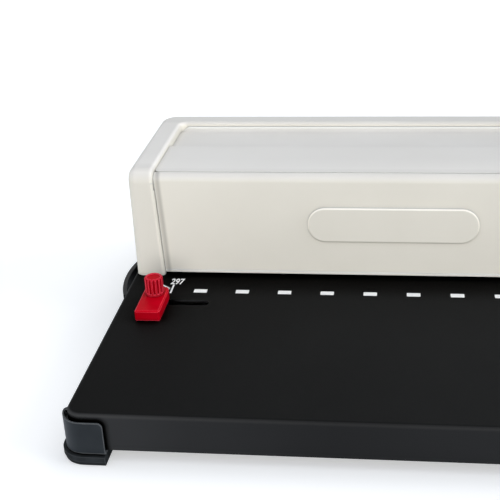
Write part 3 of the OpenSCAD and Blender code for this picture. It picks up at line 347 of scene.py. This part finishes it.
table_paint, coat = start_finish("table_paint", specular=0.02)
where = object_place(table_paint)
upward = add_node(table_paint, "NewGeometry").outputs["Normal"]
cloudy = grain(table_paint, where, 9, 4)
pebble = grain(table_paint, where, 1300, 2)
# Tone by tilt, as painted light: pale folds, a painted dark line where the top turns into the fold, and an apron
# painted paler than the top.
black = colour_steps(table_paint, along(table_paint, upward, "Z", -1.0, 1.0, 0.0, 1.0), [
    (0.0, (0.014, 0.0143, 0.015)), (0.5, (0.0215, 0.0222, 0.0235)), (0.74, (0.031, 0.0312, 0.0316)),
    (0.9, (0.022, 0.0222, 0.0224)), (0.96, (0.0095, 0.0097, 0.0097)), (0.995, (0.0125, 0.0128, 0.0128))])
# Painted sheen by place: the top is darker on the left and greyer towards the right, and the folds and upright
# faces are paler at the left end.
top_painted_sheen = tone_along(table_paint, where, "X", [(-0.18, 0.52), (-0.05, 0.88), (0.12, 1.07)])
side_painted_highlight = tone_along(table_paint, where, "X", [(-0.178, 1.6), (-0.11, 1.06), (-0.03, 0.8), (0.12, 0.98)])
flatness = along(table_paint, upward, "Z", 0.9, 1.0, 0.0, 1.0)
painted_sheen_by_place = turn_into(table_paint, flatness, side_painted_highlight, top_painted_sheen)
black = times(table_paint, times(table_paint, black, painted_sheen_by_place),
              colour_between(table_paint, cloudy, (0.9,) * 3, (1.02,) * 3))
gloss_between(table_paint, coat, pebble, 0.5, 0.62)
fold = round_and_bump(table_paint, coat, pebble, 0.0008, 0.00004, 0.35)
# Paler colour along the folds: a painted highlight.
black = turn_into(table_paint, edge_share(table_paint, fold), black, (0.04, 0.041, 0.043))
# Reach of the painted shade: far on the flat top, less in the slot, hardly any on the front edge.
by_tilt = along(table_paint, upward, "Z", 0.92, 1.0, 0.0, FLAT_REACH)
by_place = along(table_paint, where, "Y", front_end, slot_start, FRONT_REACH, SLOT_REACH)
reach = add_node(table_paint, "Math")
reach.operation = "ADD"
wire(table_paint, by_tilt, reach.inputs[0])
wire(table_paint, by_place, reach.inputs[1])
# Painted shade, darkest next to the housing and the guide.
black = painted_occlusion_shade(table_paint, black, reach.outputs[0],
             [(0.68, 0.0), (0.79, 0.12), (0.87, 0.42), (0.93, 0.72), (1.0, 1.0)])
wire(table_paint, black, coat.inputs["Base Color"])
print("made", table_paint.name)

# %% [markdown]
# ## Slate corner guards and rubber feet
# The guards are moulded in dark slate plastic, smoother than the paint, with a painted highlight line on their
# edges. Where they turn round the corner, their faces that turn to the sides are painted paler, as painted light.
# The feet are soft rubber, so they are rougher and darker, with hardly any shine, and they also get a painted
# highlight on their edges. Both get painted shade in their grooves and gaps.

# %% Guards and feet
guard_plastic, guard = start_finish("guard_plastic", specular=0.16)
where = object_place(guard_plastic)
soft = grain(guard_plastic, where, 60, 3)
fine = grain(guard_plastic, where, 2200, 2)
slate = colour_between(guard_plastic, soft, (0.014, 0.0172, 0.021), (0.018, 0.022, 0.0265))
across = add_node(guard_plastic, "NewGeometry").outputs["Normal"]
# Painted light: faces that turn to the left or right are painted paler.
slate = times(guard_plastic, slate, tone_along(guard_plastic, across, "X", [
    (-0.95, 1.7), (-0.35, 1.2), (0.0, 0.95), (0.35, 1.2), (0.95, 1.7)]))
# Painted shade in the grooves and gaps.
slate = painted_occlusion_shade(guard_plastic, slate, 0.004, [(0.35, 0.05), (0.8, 1.0)])
gloss_between(guard_plastic, guard, soft, 0.28, 0.4)
corner = round_and_bump(guard_plastic, guard, fine, 0.0009, 0.00002, 0.25)
# Paler edges: a painted highlight.
edge_highlight_and_wear(guard_plastic, guard, slate, edge_share(guard_plastic, corner, 0.01, 0.08), (0.11, 0.117, 0.123))

foot_rubber, rubber = start_finish("foot_rubber", specular=0.1)
where = object_place(foot_rubber)
dusty = grain(foot_rubber, where, 180, 4)
skin = grain(foot_rubber, where, 2600, 2)
pad = colour_between(foot_rubber, dusty, (0.015, 0.017, 0.019), (0.022, 0.025, 0.028))
# Painted shade in the grooves.
pad = painted_occlusion_shade(foot_rubber, pad, 0.003, [(0.35, 0.05), (0.8, 1.0)])
gloss_between(foot_rubber, rubber, skin, 0.62, 0.82)
ring = round_and_bump(foot_rubber, rubber, skin, 0.0007, 0.00004, 0.4)
# Paler edges: a painted highlight.
edge_highlight_and_wear(foot_rubber, rubber, pad, edge_share(foot_rubber, ring), (0.06, 0.064, 0.068))
print("made", guard_plastic.name, foot_rubber.name)

# %% [markdown]
# ## Off-white housing plastic
# The cover, its front panel and its top tray are one colour of moulded plastic with a spark-eroded skin: a very
# fine matt grain that was etched into the mould. It is warm white, a little uneven, and softer in gloss where
# hands wipe it. Surfaces that face up get a painted cooler tint of sky light. The tone by depth is painted light
# and shade: palest at the front of the tray and darker towards the back. On the cover and the badge the tone also
# follows the tilt of the surface, as painted light and shade. The moulded edges get a painted highlight, and
# painted shade goes on last, so that it lies in the seams over everything else. On the panel a soft grey band of
# painted shade lies at the ends, next to the end frames. It leans as the inner edges of the frames do, which a
# small turn of the coordinates gives.

# %% Housing plastic
PANEL_FACE = 0.0223
PALE_EDGE = 0.0013
SEAM_REACH = 0.0035
SEAM_LEAN = 0.0435
SEAM_EDGE = 0.1560
tray_low, tray_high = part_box("top_tray")
cover_front, cover_back = (corner.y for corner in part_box("cover_shell"))


def housing_plastic(name, painted_light_by_tilt=(), painted_seam_shade=()):
    mat, shell = start_finish(name, specular=0.12)
    where = object_place(mat)
    patch = grain(mat, where, 14, 3)
    spark = grain(mat, where, 1900, 2)
    ivory = colour_between(mat, patch, (0.712, 0.680, 0.606), (0.738, 0.706, 0.632))
    # Painted light and shade by depth: palest at the front of the tray and darker towards the back.
    painted_light_by_depth = tone_along(mat, where, "Y", [
        (cover_front + 0.0012, 0.955),
        (PANEL_FACE - 0.0003, 0.98), (PANEL_FACE, 1.01), (PANEL_FACE + 0.002, 0.965),
        (tray_low.y - 0.002, 0.975), (tray_low.y + 0.007, 1.075), (tray_low.y + 0.026, 1.02),
        (tray_high.y - 0.002, 1.0), (tray_high.y + 0.002, 0.92),
        (cover_back - 0.004, 0.95), (cover_back, 1.0)])
    facing = add_node(mat, "NewGeometry").outputs["Normal"]
    # Painted cooler tint of sky light on surfaces that face up.
    painted_sky_tint = colour_steps(mat, along(mat, facing, "Z", 0.0, 1.0, 0.0, 1.0),
                            [(0.15, (1.0, 1.0, 1.0)), (0.7, (0.995, 1.0, 1.052))])
    ivory = times(mat, ivory, painted_sky_tint)
    # Painted light and shade by the tilt of the surface.
    for axis, stops in painted_light_by_tilt:
        ivory = times(mat, ivory, tone_along(mat, facing, axis, stops))
    gloss_between(mat, shell, patch, 0.4, 0.52)
    round_and_bump(mat, shell, spark, 0.0005, 0.00002, 0.3)
    # A wider bevel finds the moulded edges, which get a painted highlight.
    wide = add_node(mat, "Bevel", Radius=PALE_EDGE)
    wide.samples = 8
    ivory = turn_into(mat, edge_share(mat, wide, 0.01, 0.12), ivory, (0.86, 0.855, 0.82))
    ivory = times(mat, ivory, painted_light_by_depth)
    # Painted shade: a grey band at both ends of the panel, leaning with the frames' inner edges.
    if painted_seam_shade:
        mirror = add_node(mat, "VectorMath")
        mirror.operation = "ABSOLUTE"
        wire(mat, where, mirror.inputs[0])
        lean = add_node(mat, "Mapping", Rotation=(0, -SEAM_LEAN, 0))
        wire(mat, mirror.outputs["Vector"], lean.inputs["Vector"])
        ivory = times(mat, ivory, tone_along(mat, lean.outputs["Vector"], "X", painted_seam_shade))
    # Painted shade in the seams and corners.
    ivory = painted_occlusion_shade(mat, ivory, SEAM_REACH, [(0.2, 0.64), (0.6, 0.82), (0.93, 1.0)])
    wire(mat, ivory, shell.inputs["Base Color"])
    return mat


# Painted highlight on surfaces that face right, such as the inner edge of the left end frame.
cover_plastic = housing_plastic("cover_plastic", [
    ("X", [(0.25, 1.0), (0.45, 1.09), (0.75, 1.09), (0.92, 1.0)])])
# Painted shade: a soft grey band at both ends of the panel, next to the end frames.
panel_plastic = housing_plastic("panel_plastic", painted_seam_shade=[
    (SEAM_EDGE - 0.0050, 1.0), (SEAM_EDGE - 0.0041, 0.88), (SEAM_EDGE - 0.0034, 0.72),
    (SEAM_EDGE - 0.0027, 0.66), (SEAM_EDGE - 0.0018, 0.74), (SEAM_EDGE - 0.0009, 0.88), (SEAM_EDGE, 1.0)])
# Painted light and shade by tilt: the crown of the badge's edge is paler, its sides and foot darker, most of all
# below.
badge_plastic = housing_plastic("badge_plastic", [
    ("Y", [(-1.0, 1.045), (-0.97, 1.045), (-0.9, 1.3), (-0.6, 1.3), (-0.35, 0.83), (0.0, 0.74)]),
    ("Z", [(-0.8, 0.62), (-0.25, 0.8), (-0.08, 1.0), (0.25, 1.0), (0.6, 1.06)])])
print("made", cover_plastic.name, panel_plastic.name, badge_plastic.name)

# %% [markdown]
# ## Red guide plastic
# The paper guide and its clamp knob are bright red, so that the hand finds them. The colour is in the plastic.
# Surfaces that face up are painted paler and the sides darker, as painted light, the moulded edges get a painted
# highlight, and the grooves of the knob and the foot of the guide get painted shade.

# %% Red plastic
red_plastic, red = start_finish("red_plastic", specular=0.03)
where = object_place(red_plastic)
flow = grain(red_plastic, where, 120, 3)
fine = grain(red_plastic, where, 2400, 2)
crimson = colour_between(red_plastic, flow, (0.41, 0.0004, 0.007), (0.47, 0.0006, 0.010))
upward = add_node(red_plastic, "NewGeometry").outputs["Normal"]
# Painted light: tops paler, upright faces darker.
crimson = times(red_plastic, crimson, tone_along(red_plastic, upward, "Z", [(0.0, 0.88), (0.9, 1.16)]))
# Painted shade in the knob's grooves and where the pieces meet.
crimson = painted_occlusion_shade(red_plastic, crimson, 0.0025, [(0.35, 0.3), (0.92, 1.0)])
gloss_between(red_plastic, red, flow, 0.3, 0.42)
lip = round_and_bump(red_plastic, red, fine, 0.0007, 0.00002, 0.25)
# Paler edges: a painted highlight.
edge_highlight_and_wear(red_plastic, red, crimson, edge_share(red_plastic, lip, 0.01, 0.08), (0.84, 0.055, 0.095))
print("made", red_plastic.name)

# %% [markdown]
# ## Drawer and grip
# The chip drawer is black moulded plastic, a little smoother than the table paint. The lever's grip is a
# soft black sleeve, so it gets a rougher skin and fine pores.

# %% Drawer plastic and grip rubber
drawer_plastic, drawer = start_finish("drawer_plastic", specular=0.14)
where = object_place(drawer_plastic)
soft = grain(drawer_plastic, where, 45, 3)
fine = grain(drawer_plastic, where, 1700, 2)
jet = colour_between(drawer_plastic, soft, (0.0065, 0.007, 0.0075), (0.0095, 0.010, 0.011))
# Painted shade in the corners.
jet = painted_occlusion_shade(drawer_plastic, jet, 0.006, [(0.35, 0.2), (0.85, 1.0)])
gloss_between(drawer_plastic, drawer, soft, 0.38, 0.5)
pull = round_and_bump(drawer_plastic, drawer, fine, 0.0009, 0.00002, 0.3)
# Paler edges: a painted highlight.
edge_highlight_and_wear(drawer_plastic, drawer, jet, edge_share(drawer_plastic, pull), (0.05, 0.052, 0.055))

grip_rubber, sleeve = start_finish("grip_rubber", specular=0.2)
where = object_place(grip_rubber)
hand = grain(grip_rubber, where, 40, 4)
pores = grain(grip_rubber, where, 1500, 3)
wire(grip_rubber, colour_between(grip_rubber, hand, (0.008, 0.008, 0.009), (0.016, 0.016, 0.017)),
     sleeve.inputs["Base Color"])
gloss_between(grip_rubber, sleeve, hand, 0.55, 0.75)
round_and_bump(grip_rubber, sleeve, pores, 0.001, 0.00006, 0.5)
print("made", drawer_plastic.name, grip_rubber.name)

# %% [markdown]
# ## Metals
# Zinc plated screws and arms are pale with cloudy spangle. The hardened parts are darker, with an oiled
# black skin, and the punches and dies are ground steel, whose fine scratches run along the machine.
# Stretching the noise along X makes such scratches. The bushes are cast brass.

# %% Steels and brass
def metal(name, dark, light, rough, stretch, scale, height):
    mat, shader = start_finish(name, metallic=1.0)
    lines = object_place(mat, stretch)
    tone = grain(mat, object_place(mat), scale, 4)
    scratch = grain(mat, lines, 1600, 3)
    color = colour_between(mat, tone, dark, light)
    gloss_between(mat, shader, scratch, *rough)
    bevel = round_and_bump(mat, shader, scratch, 0.0004, height, 0.3)
    edge_highlight_and_wear(mat, shader, color, edge_share(mat, bevel), tuple(min(1, c * 1.25) for c in light))
    return mat


EVEN = (1, 1, 1)
GROUND = (0.03, 1, 1)
zinc_steel = metal("zinc_steel", (0.54, 0.55, 0.57), (0.60, 0.61, 0.63),
                   rough=(0.3, 0.4), stretch=EVEN, scale=90, height=0.00001)
dark_steel = metal("dark_steel", (0.10, 0.105, 0.115), (0.15, 0.155, 0.165),
                   rough=(0.3, 0.45), stretch=EVEN, scale=120, height=0.00002)
tool_steel = metal("tool_steel", (0.42, 0.43, 0.45), (0.52, 0.53, 0.55),
                   rough=(0.22, 0.38), stretch=GROUND, scale=60, height=0.00002)
bush_brass = metal("bush_brass", (0.46, 0.32, 0.13), (0.58, 0.42, 0.18),
                   rough=(0.28, 0.4), stretch=EVEN, scale=150, height=0.00002)
print("made", [m.name for m in (zinc_steel, dark_steel, tool_steel, bush_brass)])

# %% [markdown]
# ## Finishes on the solids
# Each solid keeps its shape and gets the finish that the record names for it. The front panel alone has its own
# variant, with a grey band of painted shade at its ends. A list of pieces for each finish could be typed here, but
# then a change in the record would be missed.

# %% Dress the solids
finishes = {
    "table_paint": table_paint, "guard_plastic": guard_plastic, "foot_rubber": foot_rubber,
    "cover_plastic": cover_plastic, "red_plastic": red_plastic, "drawer_plastic": drawer_plastic,
    "grip_rubber": grip_rubber, "zinc_steel": zinc_steel, "dark_steel": dark_steel,
    "tool_steel": tool_steel, "bush_brass": bush_brass}
worn_by = {name: [] for name in finishes}
for row in frame["record"]["subparts"]:
    solid, finish = node[row["node"]], row["material_slot"]
    solid.data.materials.clear()
    solid.data.materials.append(panel_plastic if row["node"] == "front_panel" else finishes[finish])
    worn_by[finish].append(row["node"])
for name, solids in worn_by.items():
    print(name, "on", len(solids), "solids")

# %% [markdown]
# ## Return springs
# Two compression springs round the guide posts push the ram up. They are cold-wound from round wire. The Screw
# modifier winds a circle of the wire's size round the post, which a hand-made helix of points would only copy. The
# ends are closed with a face, and the spring moves with the ram.

# %% Wind the springs
WIRE = 0.0012
WIRE_SIDES = 16
COIL = 0.0045
TURNS = 7
TURN_STEPS = 40
POST = 0.155
PUNCH_LINE = 0.05


def wind_spring():
    low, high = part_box("spring_left")
    rise = (high.z - low.z) - WIRE
    bpy.ops.object.select_all(action="DESELECT")
    bpy.ops.mesh.primitive_circle_add(vertices=WIRE_SIDES, radius=WIRE / 2, fill_type="NGON",
                                      location=(COIL, 0, 0), rotation=(radians(90), 0, 0))
    spring = bpy.context.object
    spring.name = "return_spring_left"
    bpy.ops.object.transform_apply(location=True, rotation=True, scale=True)
    wind = spring.modifiers.new("wind", "SCREW")
    wind.axis = "Z"
    wind.angle = radians(360)
    wind.iterations = TURNS
    wind.steps = wind.render_steps = TURN_STEPS
    wind.screw_offset = rise / TURNS
    wind.use_merge_vertices = True
    bpy.ops.object.modifier_apply(modifier="wind")
    spring.location = (-POST, PUNCH_LINE, low.z + WIRE / 2)
    bpy.ops.object.transform_apply(location=True, rotation=True, scale=True)
    bpy.ops.object.mode_set(mode="EDIT")
    bpy.ops.mesh.select_all(action="SELECT")
    bpy.ops.mesh.normals_make_consistent(inside=False)
    bpy.ops.object.mode_set(mode="OBJECT")
    bpy.ops.object.shade_smooth_by_angle(angle=radians(50))
    spring.data.materials.append(tool_steel)
    return spring


def copy_piece(piece, name, x):
    bpy.ops.object.select_all(action="DESELECT")
    piece.select_set(True)
    bpy.context.view_layer.objects.active = piece
    bpy.ops.object.duplicate(linked=False)
    copy = bpy.context.object
    copy.name = name
    copy.location.x = x
    bpy.ops.object.transform_apply(location=True, rotation=True, scale=True)
    return copy


spring_left = wind_spring()
spring_right = copy_piece(spring_left, "return_spring_right", 2 * POST)
for side, x, spring in (("left", -POST, spring_left), ("right", POST, spring_right)):
    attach(spring, "ram")
    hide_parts("spring_" + side)
    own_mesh(spring)
    print(spring.name, len(spring.data.polygons), "faces")

# %% [markdown]
# ## Lever grip
# The grip is a soft sleeve moulded over the end of the flat lever, with rings that give the fingers hold.
# The solid is the plain sleeve. Here a block gets its long edges rounded to an oval and its ends
# softened, cuts across it mark the rings, and all rings are inset together to shallow grooves. Bump would
# do from afar, but grooves also show in the outline. The sleeve is shaped upright and then leaned back
# about the lever's own axis.

# %% Pick edges or faces
NEAR = 0.00001


def pick(piece, kind, test):
    bpy.ops.object.mode_set(mode="EDIT")
    bpy.ops.mesh.select_mode(type=kind)
    bpy.ops.mesh.select_all(action="DESELECT")
    bpy.ops.object.mode_set(mode="OBJECT")
    points = piece.data.vertices
    for part in piece.data.edges if kind == "EDGE" else piece.data.polygons:
        part.select = test([points[i].co for i in part.vertices])
    bpy.ops.object.mode_set(mode="EDIT")


print("pick helper ready")

# %% Shape the grip
GRIP_THICK, GRIP_WIDE = 0.015, 0.025
GRIP_START, GRIP_END = 0.120, 0.2145
GRIP_CORNER = 0.0073
GRIP_TOP_ROUND, GRIP_FOOT_ROUND = 0.006, 0.002
LEAN = radians(10)
RINGS = 8
FIRST_RING = 0.0125
RING_STEP = 0.0088
RING_WIDE = 0.0034
RING_SLOPE, RING_DEEP = 0.0008, 0.0009
RING_SOFT = 0.0005

grip_low, grip_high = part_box("lever_grip")
lever_axis = next(j for j in frame["joints"] if j["name"] == "lever_turn")["pos_m"]
bpy.ops.object.select_all(action="DESELECT")
bpy.ops.mesh.primitive_cube_add(size=1, scale=(GRIP_THICK, GRIP_WIDE, GRIP_END - GRIP_START),
                                location=(0, 0, (GRIP_START + GRIP_END) / 2))
grip = bpy.context.object
grip.name = "grip_sleeve"
bpy.ops.object.transform_apply(location=True, rotation=True, scale=True)
pick(grip, "EDGE", lambda p: abs(p[0].z - p[1].z) > NEAR)
bpy.ops.mesh.bevel(offset=GRIP_CORNER, segments=8)
pick(grip, "EDGE", lambda p: min(q.z for q in p) > GRIP_END - NEAR)
bpy.ops.mesh.bevel(offset=GRIP_TOP_ROUND, segments=6)
pick(grip, "EDGE", lambda p: max(q.z for q in p) < GRIP_START + NEAR)
bpy.ops.mesh.bevel(offset=GRIP_FOOT_ROUND, segments=4)
print(grip.name, len(grip.data.polygons), "faces before the rings")

# %% Cut the rings and place the grip
def in_a_ring(corners):
    middle = sum(q.z for q in corners) / len(corners)
    return any(low < middle < low + RING_WIDE for low in ring_low)


ring_low = [GRIP_START + FIRST_RING + RING_STEP * k for k in range(RINGS)]
for z in [edge for low in ring_low for edge in (low, low + RING_WIDE)]:
    bpy.ops.mesh.select_all(action="SELECT")
    bpy.ops.mesh.bisect(plane_co=(0, 0, z), plane_no=(0, 0, 1))
pick(grip, "FACE", in_a_ring)
bpy.ops.mesh.inset(thickness=RING_SLOPE, depth=-RING_DEEP, use_boundary=True)
bpy.ops.object.mode_set(mode="OBJECT")
soften = grip.modifiers.new("soften", "BEVEL")
soften.width = RING_SOFT
soften.segments = 2
soften.limit_method = "ANGLE"
soften.angle_limit = radians(25)
bpy.ops.object.modifier_apply(modifier="soften")
bpy.ops.object.shade_smooth_by_angle(angle=radians(40))
grip.rotation_euler.x = -LEAN
grip.location = ((grip_low.x + grip_high.x) / 2, lever_axis[1], lever_axis[2])
bpy.ops.object.transform_apply(location=True, rotation=True, scale=True)
grip.data.materials.append(grip_rubber)
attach(grip, "lever")
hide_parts("lever_grip")
print(grip.name, len(grip.data.polygons), "faces with", RINGS, "rings")

# %% [markdown]
# ## Bare badge on the front panel
# The panel carries a raised pill with nothing on it. On the machine it is a thin moulded plate with a crisp edge
# that was pressed into the panel. A block gets two round ends by a bevel almost as wide as half its height, and
# then a round bevel about its face. A narrow inset keeps the face flat next to that bevel. Its finish goes by the
# tilt of the surface, as painted light and shade: the crown of the edge gets a painted highlight and its foot,
# most of all below, gets painted shade.

# %% Badge
TABLE_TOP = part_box("table")[1].z
BADGE_WIDE, BADGE_HIGH, BADGE_RAISE = 0.1143, 0.0253, 0.0020
BADGE_SUNK = 0.0005
BADGE_ABOVE_TABLE = 0.039
BADGE_END_FLAT = 0.0006
BADGE_ROUND = 0.0015
BADGE_RIM = 0.0002
badge_face = PANEL_FACE - BADGE_RAISE

bpy.ops.object.select_all(action="DESELECT")
bpy.ops.mesh.primitive_cube_add(size=1, scale=(BADGE_WIDE, BADGE_RAISE + BADGE_SUNK, BADGE_HIGH),
                                location=(0, PANEL_FACE + (BADGE_SUNK - BADGE_RAISE) / 2,
                                          TABLE_TOP + BADGE_ABOVE_TABLE))
badge = bpy.context.object
badge.name = "panel_badge"
bpy.ops.object.transform_apply(location=True, rotation=True, scale=True)
pick(badge, "EDGE", lambda p: abs(p[0].y - p[1].y) > BADGE_RAISE / 2)
bpy.ops.mesh.bevel(offset=BADGE_HIGH / 2 - BADGE_END_FLAT, segments=18)
pick(badge, "EDGE", lambda p: max(q.y for q in p) < badge_face + NEAR)
bpy.ops.mesh.bevel(offset=BADGE_ROUND, segments=6)
pick(badge, "FACE", lambda p: max(q.y for q in p) < badge_face + NEAR)
bpy.ops.mesh.inset(thickness=BADGE_RIM)
bpy.ops.object.mode_set(mode="OBJECT")
bpy.ops.object.shade_smooth_by_angle(angle=radians(35))
badge.data.materials.append(badge_plastic)
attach(badge, "base")
print(badge.name, len(badge.data.polygons), "faces")

# %% [markdown]
# ## Seam lips
# Beside the rounded top of the front panel, the seam to the end frames is wider than further down. On the
# machine a thin lip closes it, a little below the surface, so that the seam is a shallow groove and not a
# black slit. A disc as thick as the seam is cut to a quarter, so that its rim follows the panel's
# rounding, and its lower face is extruded down along the flat. Sweeping a section along a path would give
# the same lip.

# %% Lips
SEAM_MID, SEAM_WIDE = 0.1606, 0.0007
NOSE = 0.0055
LIP_SUNK = 0.00045
nose_y, nose_z = PANEL_FACE + NOSE, tray_high.z - NOSE
panel_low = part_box("front_panel")[0]

bpy.ops.object.select_all(action="DESELECT")
bpy.ops.mesh.primitive_cylinder_add(vertices=72, radius=NOSE - LIP_SUNK, depth=SEAM_WIDE,
                                    location=(-SEAM_MID, nose_y, nose_z), rotation=(0, radians(90), 0))
lip_left = bpy.context.object
lip_left.name = "seam_lip_left"
bpy.ops.object.transform_apply(location=True, rotation=True, scale=True)
bpy.ops.object.mode_set(mode="EDIT")
bpy.ops.mesh.select_all(action="SELECT")
bpy.ops.mesh.bisect(plane_co=(0, nose_y, 0), plane_no=(0, 1, 0), clear_outer=True, use_fill=True)
bpy.ops.mesh.select_all(action="SELECT")
bpy.ops.mesh.bisect(plane_co=(0, 0, nose_z), plane_no=(0, 0, 1), clear_inner=True, use_fill=True)
pick(lip_left, "FACE", lambda p: max(q.z for q in p) < nose_z + NEAR)
bpy.ops.mesh.extrude_region_move(TRANSFORM_OT_translate={"value": (0, 0, panel_low.z - nose_z)})
bpy.ops.mesh.select_all(action="SELECT")
bpy.ops.mesh.normals_make_consistent(inside=False)
bpy.ops.object.mode_set(mode="OBJECT")
bpy.ops.object.shade_smooth_by_angle(angle=radians(30))
lip_left.data.materials.append(cover_plastic)
lip_right = copy_piece(lip_left, "seam_lip_right", 2 * SEAM_MID)
for lip in (lip_left, lip_right):
    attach(lip, "base")
    print(lip.name, len(lip.data.polygons), "faces")

# %% [markdown]
# ## White print on the table
# A row of short dashes shows where the holes fall, and a tick with an arrow and a number shows where the
# paper's edge goes. On the machine this is a thin film of ink. Each mark is a low block with its corners
# rounded, lying on the paint, so that it stays put in every view. A painted mask in the table's material
# would blur at the edges.

# %% Ink
white_ink, ink = start_finish("white_ink", specular=0.3)
where = object_place(white_ink)
thin = grain(white_ink, where, 700, 4)
film = colour_between(white_ink, thin, (0.93, 0.93, 0.92), (0.98, 0.98, 0.97))
wire(white_ink, film, ink.inputs["Base Color"])
gloss_between(white_ink, ink, thin, 0.45, 0.6)
print("made", white_ink.name)

# %% Dashes
INK = 0.00008
PITCH = 0.0142875
DASHES = 10
DASH_WIDE, DASH_DEEP, DASH_ROUND = 0.0089, 0.0047, 0.0004
DASH_ROW = -0.0028


def ink_block(name, x, y, w, d, r):
    bpy.ops.object.select_all(action="DESELECT")
    bpy.ops.mesh.primitive_cube_add(size=1, location=(x, y, TABLE_TOP + INK / 2), scale=(w, d, INK))
    mark = bpy.context.object
    mark.name = name
    bpy.ops.object.transform_apply(location=True, rotation=True, scale=True)
    pick(mark, "EDGE", lambda p: abs(p[0].z - p[1].z) > INK / 2)
    bpy.ops.mesh.bevel(offset=r, segments=4)
    bpy.ops.object.mode_set(mode="OBJECT")
    mark.data.materials.append(white_ink)
    return mark


dashes = [ink_block("dash_1", (1 - DASHES) * PITCH, DASH_ROW, DASH_WIDE, DASH_DEEP, DASH_ROUND)]
for k in range(1, DASHES):
    dashes.append(copy_piece(dashes[0], "dash_%d" % (k + 1), 2 * k * PITCH))
for dash in dashes:
    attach(dash, "base")
print("dashes:", len(dashes), "at every second hole")

# %% [markdown]
# ## Sheet size mark
# The tick stands where the side edge of a long sheet lies, and the open arrow points to it. The number is
# the sheet's length in millimetres. Text is turned into a mesh and given the thickness of the ink.

# %% Tick and arrow
LINE, LINE_ROUND = 0.0012, 0.00024
SHEET_EDGE = -0.1486
TICK_MID, TICK_LONG, TICK_ROUND = -0.0005, 0.0124, 0.0002
ARROW_TIP = -0.1504
BARB_BACK, BARB_OUT = -0.1567, 0.0052
SHAFT_START, SHAFT_END = -0.1640, -0.1506


def join_marks(marks, name):
    bpy.ops.object.select_all(action="DESELECT")
    for m in marks:
        m.select_set(True)
    bpy.context.view_layer.objects.active = marks[0]
    bpy.ops.object.join()
    marks[0].name = name
    return marks[0]


def ink_bar(name, start, end):
    dx, dy = end[0] - start[0], end[1] - start[1]
    bar = ink_block(name, 0, 0, hypot(dx, dy), LINE, LINE_ROUND)
    bar.rotation_euler.z = atan2(dy, dx)
    bar.location = ((start[0] + end[0]) / 2, (start[1] + end[1]) / 2, 0)
    bpy.ops.object.transform_apply(location=True, rotation=True, scale=True)
    return bar


tick = ink_block("size_tick", SHEET_EDGE, TICK_MID, LINE, TICK_LONG, TICK_ROUND)
strokes = [
    ink_bar("barb_upper", (BARB_BACK, BARB_OUT), (ARROW_TIP, 0.0)),
    ink_bar("barb_lower", (BARB_BACK, -BARB_OUT), (ARROW_TIP, 0.0)),
    ink_bar("shaft", (SHAFT_START, 0.0), (SHAFT_END, 0.0)),
]
arrow = join_marks(strokes, "size_arrow")
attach(tick, "base")
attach(arrow, "base")
print(tick.name, arrow.name, len(arrow.data.polygons), "faces")

# %% Number
NUMBER_PLACE = (-0.1470, 0.0066, TABLE_TOP + INK / 2)
NUMBER_HIGH = 0.0115
NUMBER_BOLD = 0.00025
NUMBER_NARROW = 0.52

bpy.ops.object.select_all(action="DESELECT")
bpy.ops.object.text_add(location=(0, 0, 0))
number = bpy.context.object
number.name = "size_number"
number.data.body = "297"
number.data.align_x = "CENTER"
number.data.size = NUMBER_HIGH
number.data.extrude = INK / 2
number.data.offset = NUMBER_BOLD
bpy.ops.object.convert(target="MESH")
number.scale.x = NUMBER_NARROW
number.location = NUMBER_PLACE
bpy.ops.object.transform_apply(location=True, rotation=True, scale=True)
number.data.materials.clear()
number.data.materials.append(white_ink)
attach(number, "base")
print(number.name, "is", round(number.dimensions.x * 1000, 1), "mm wide")
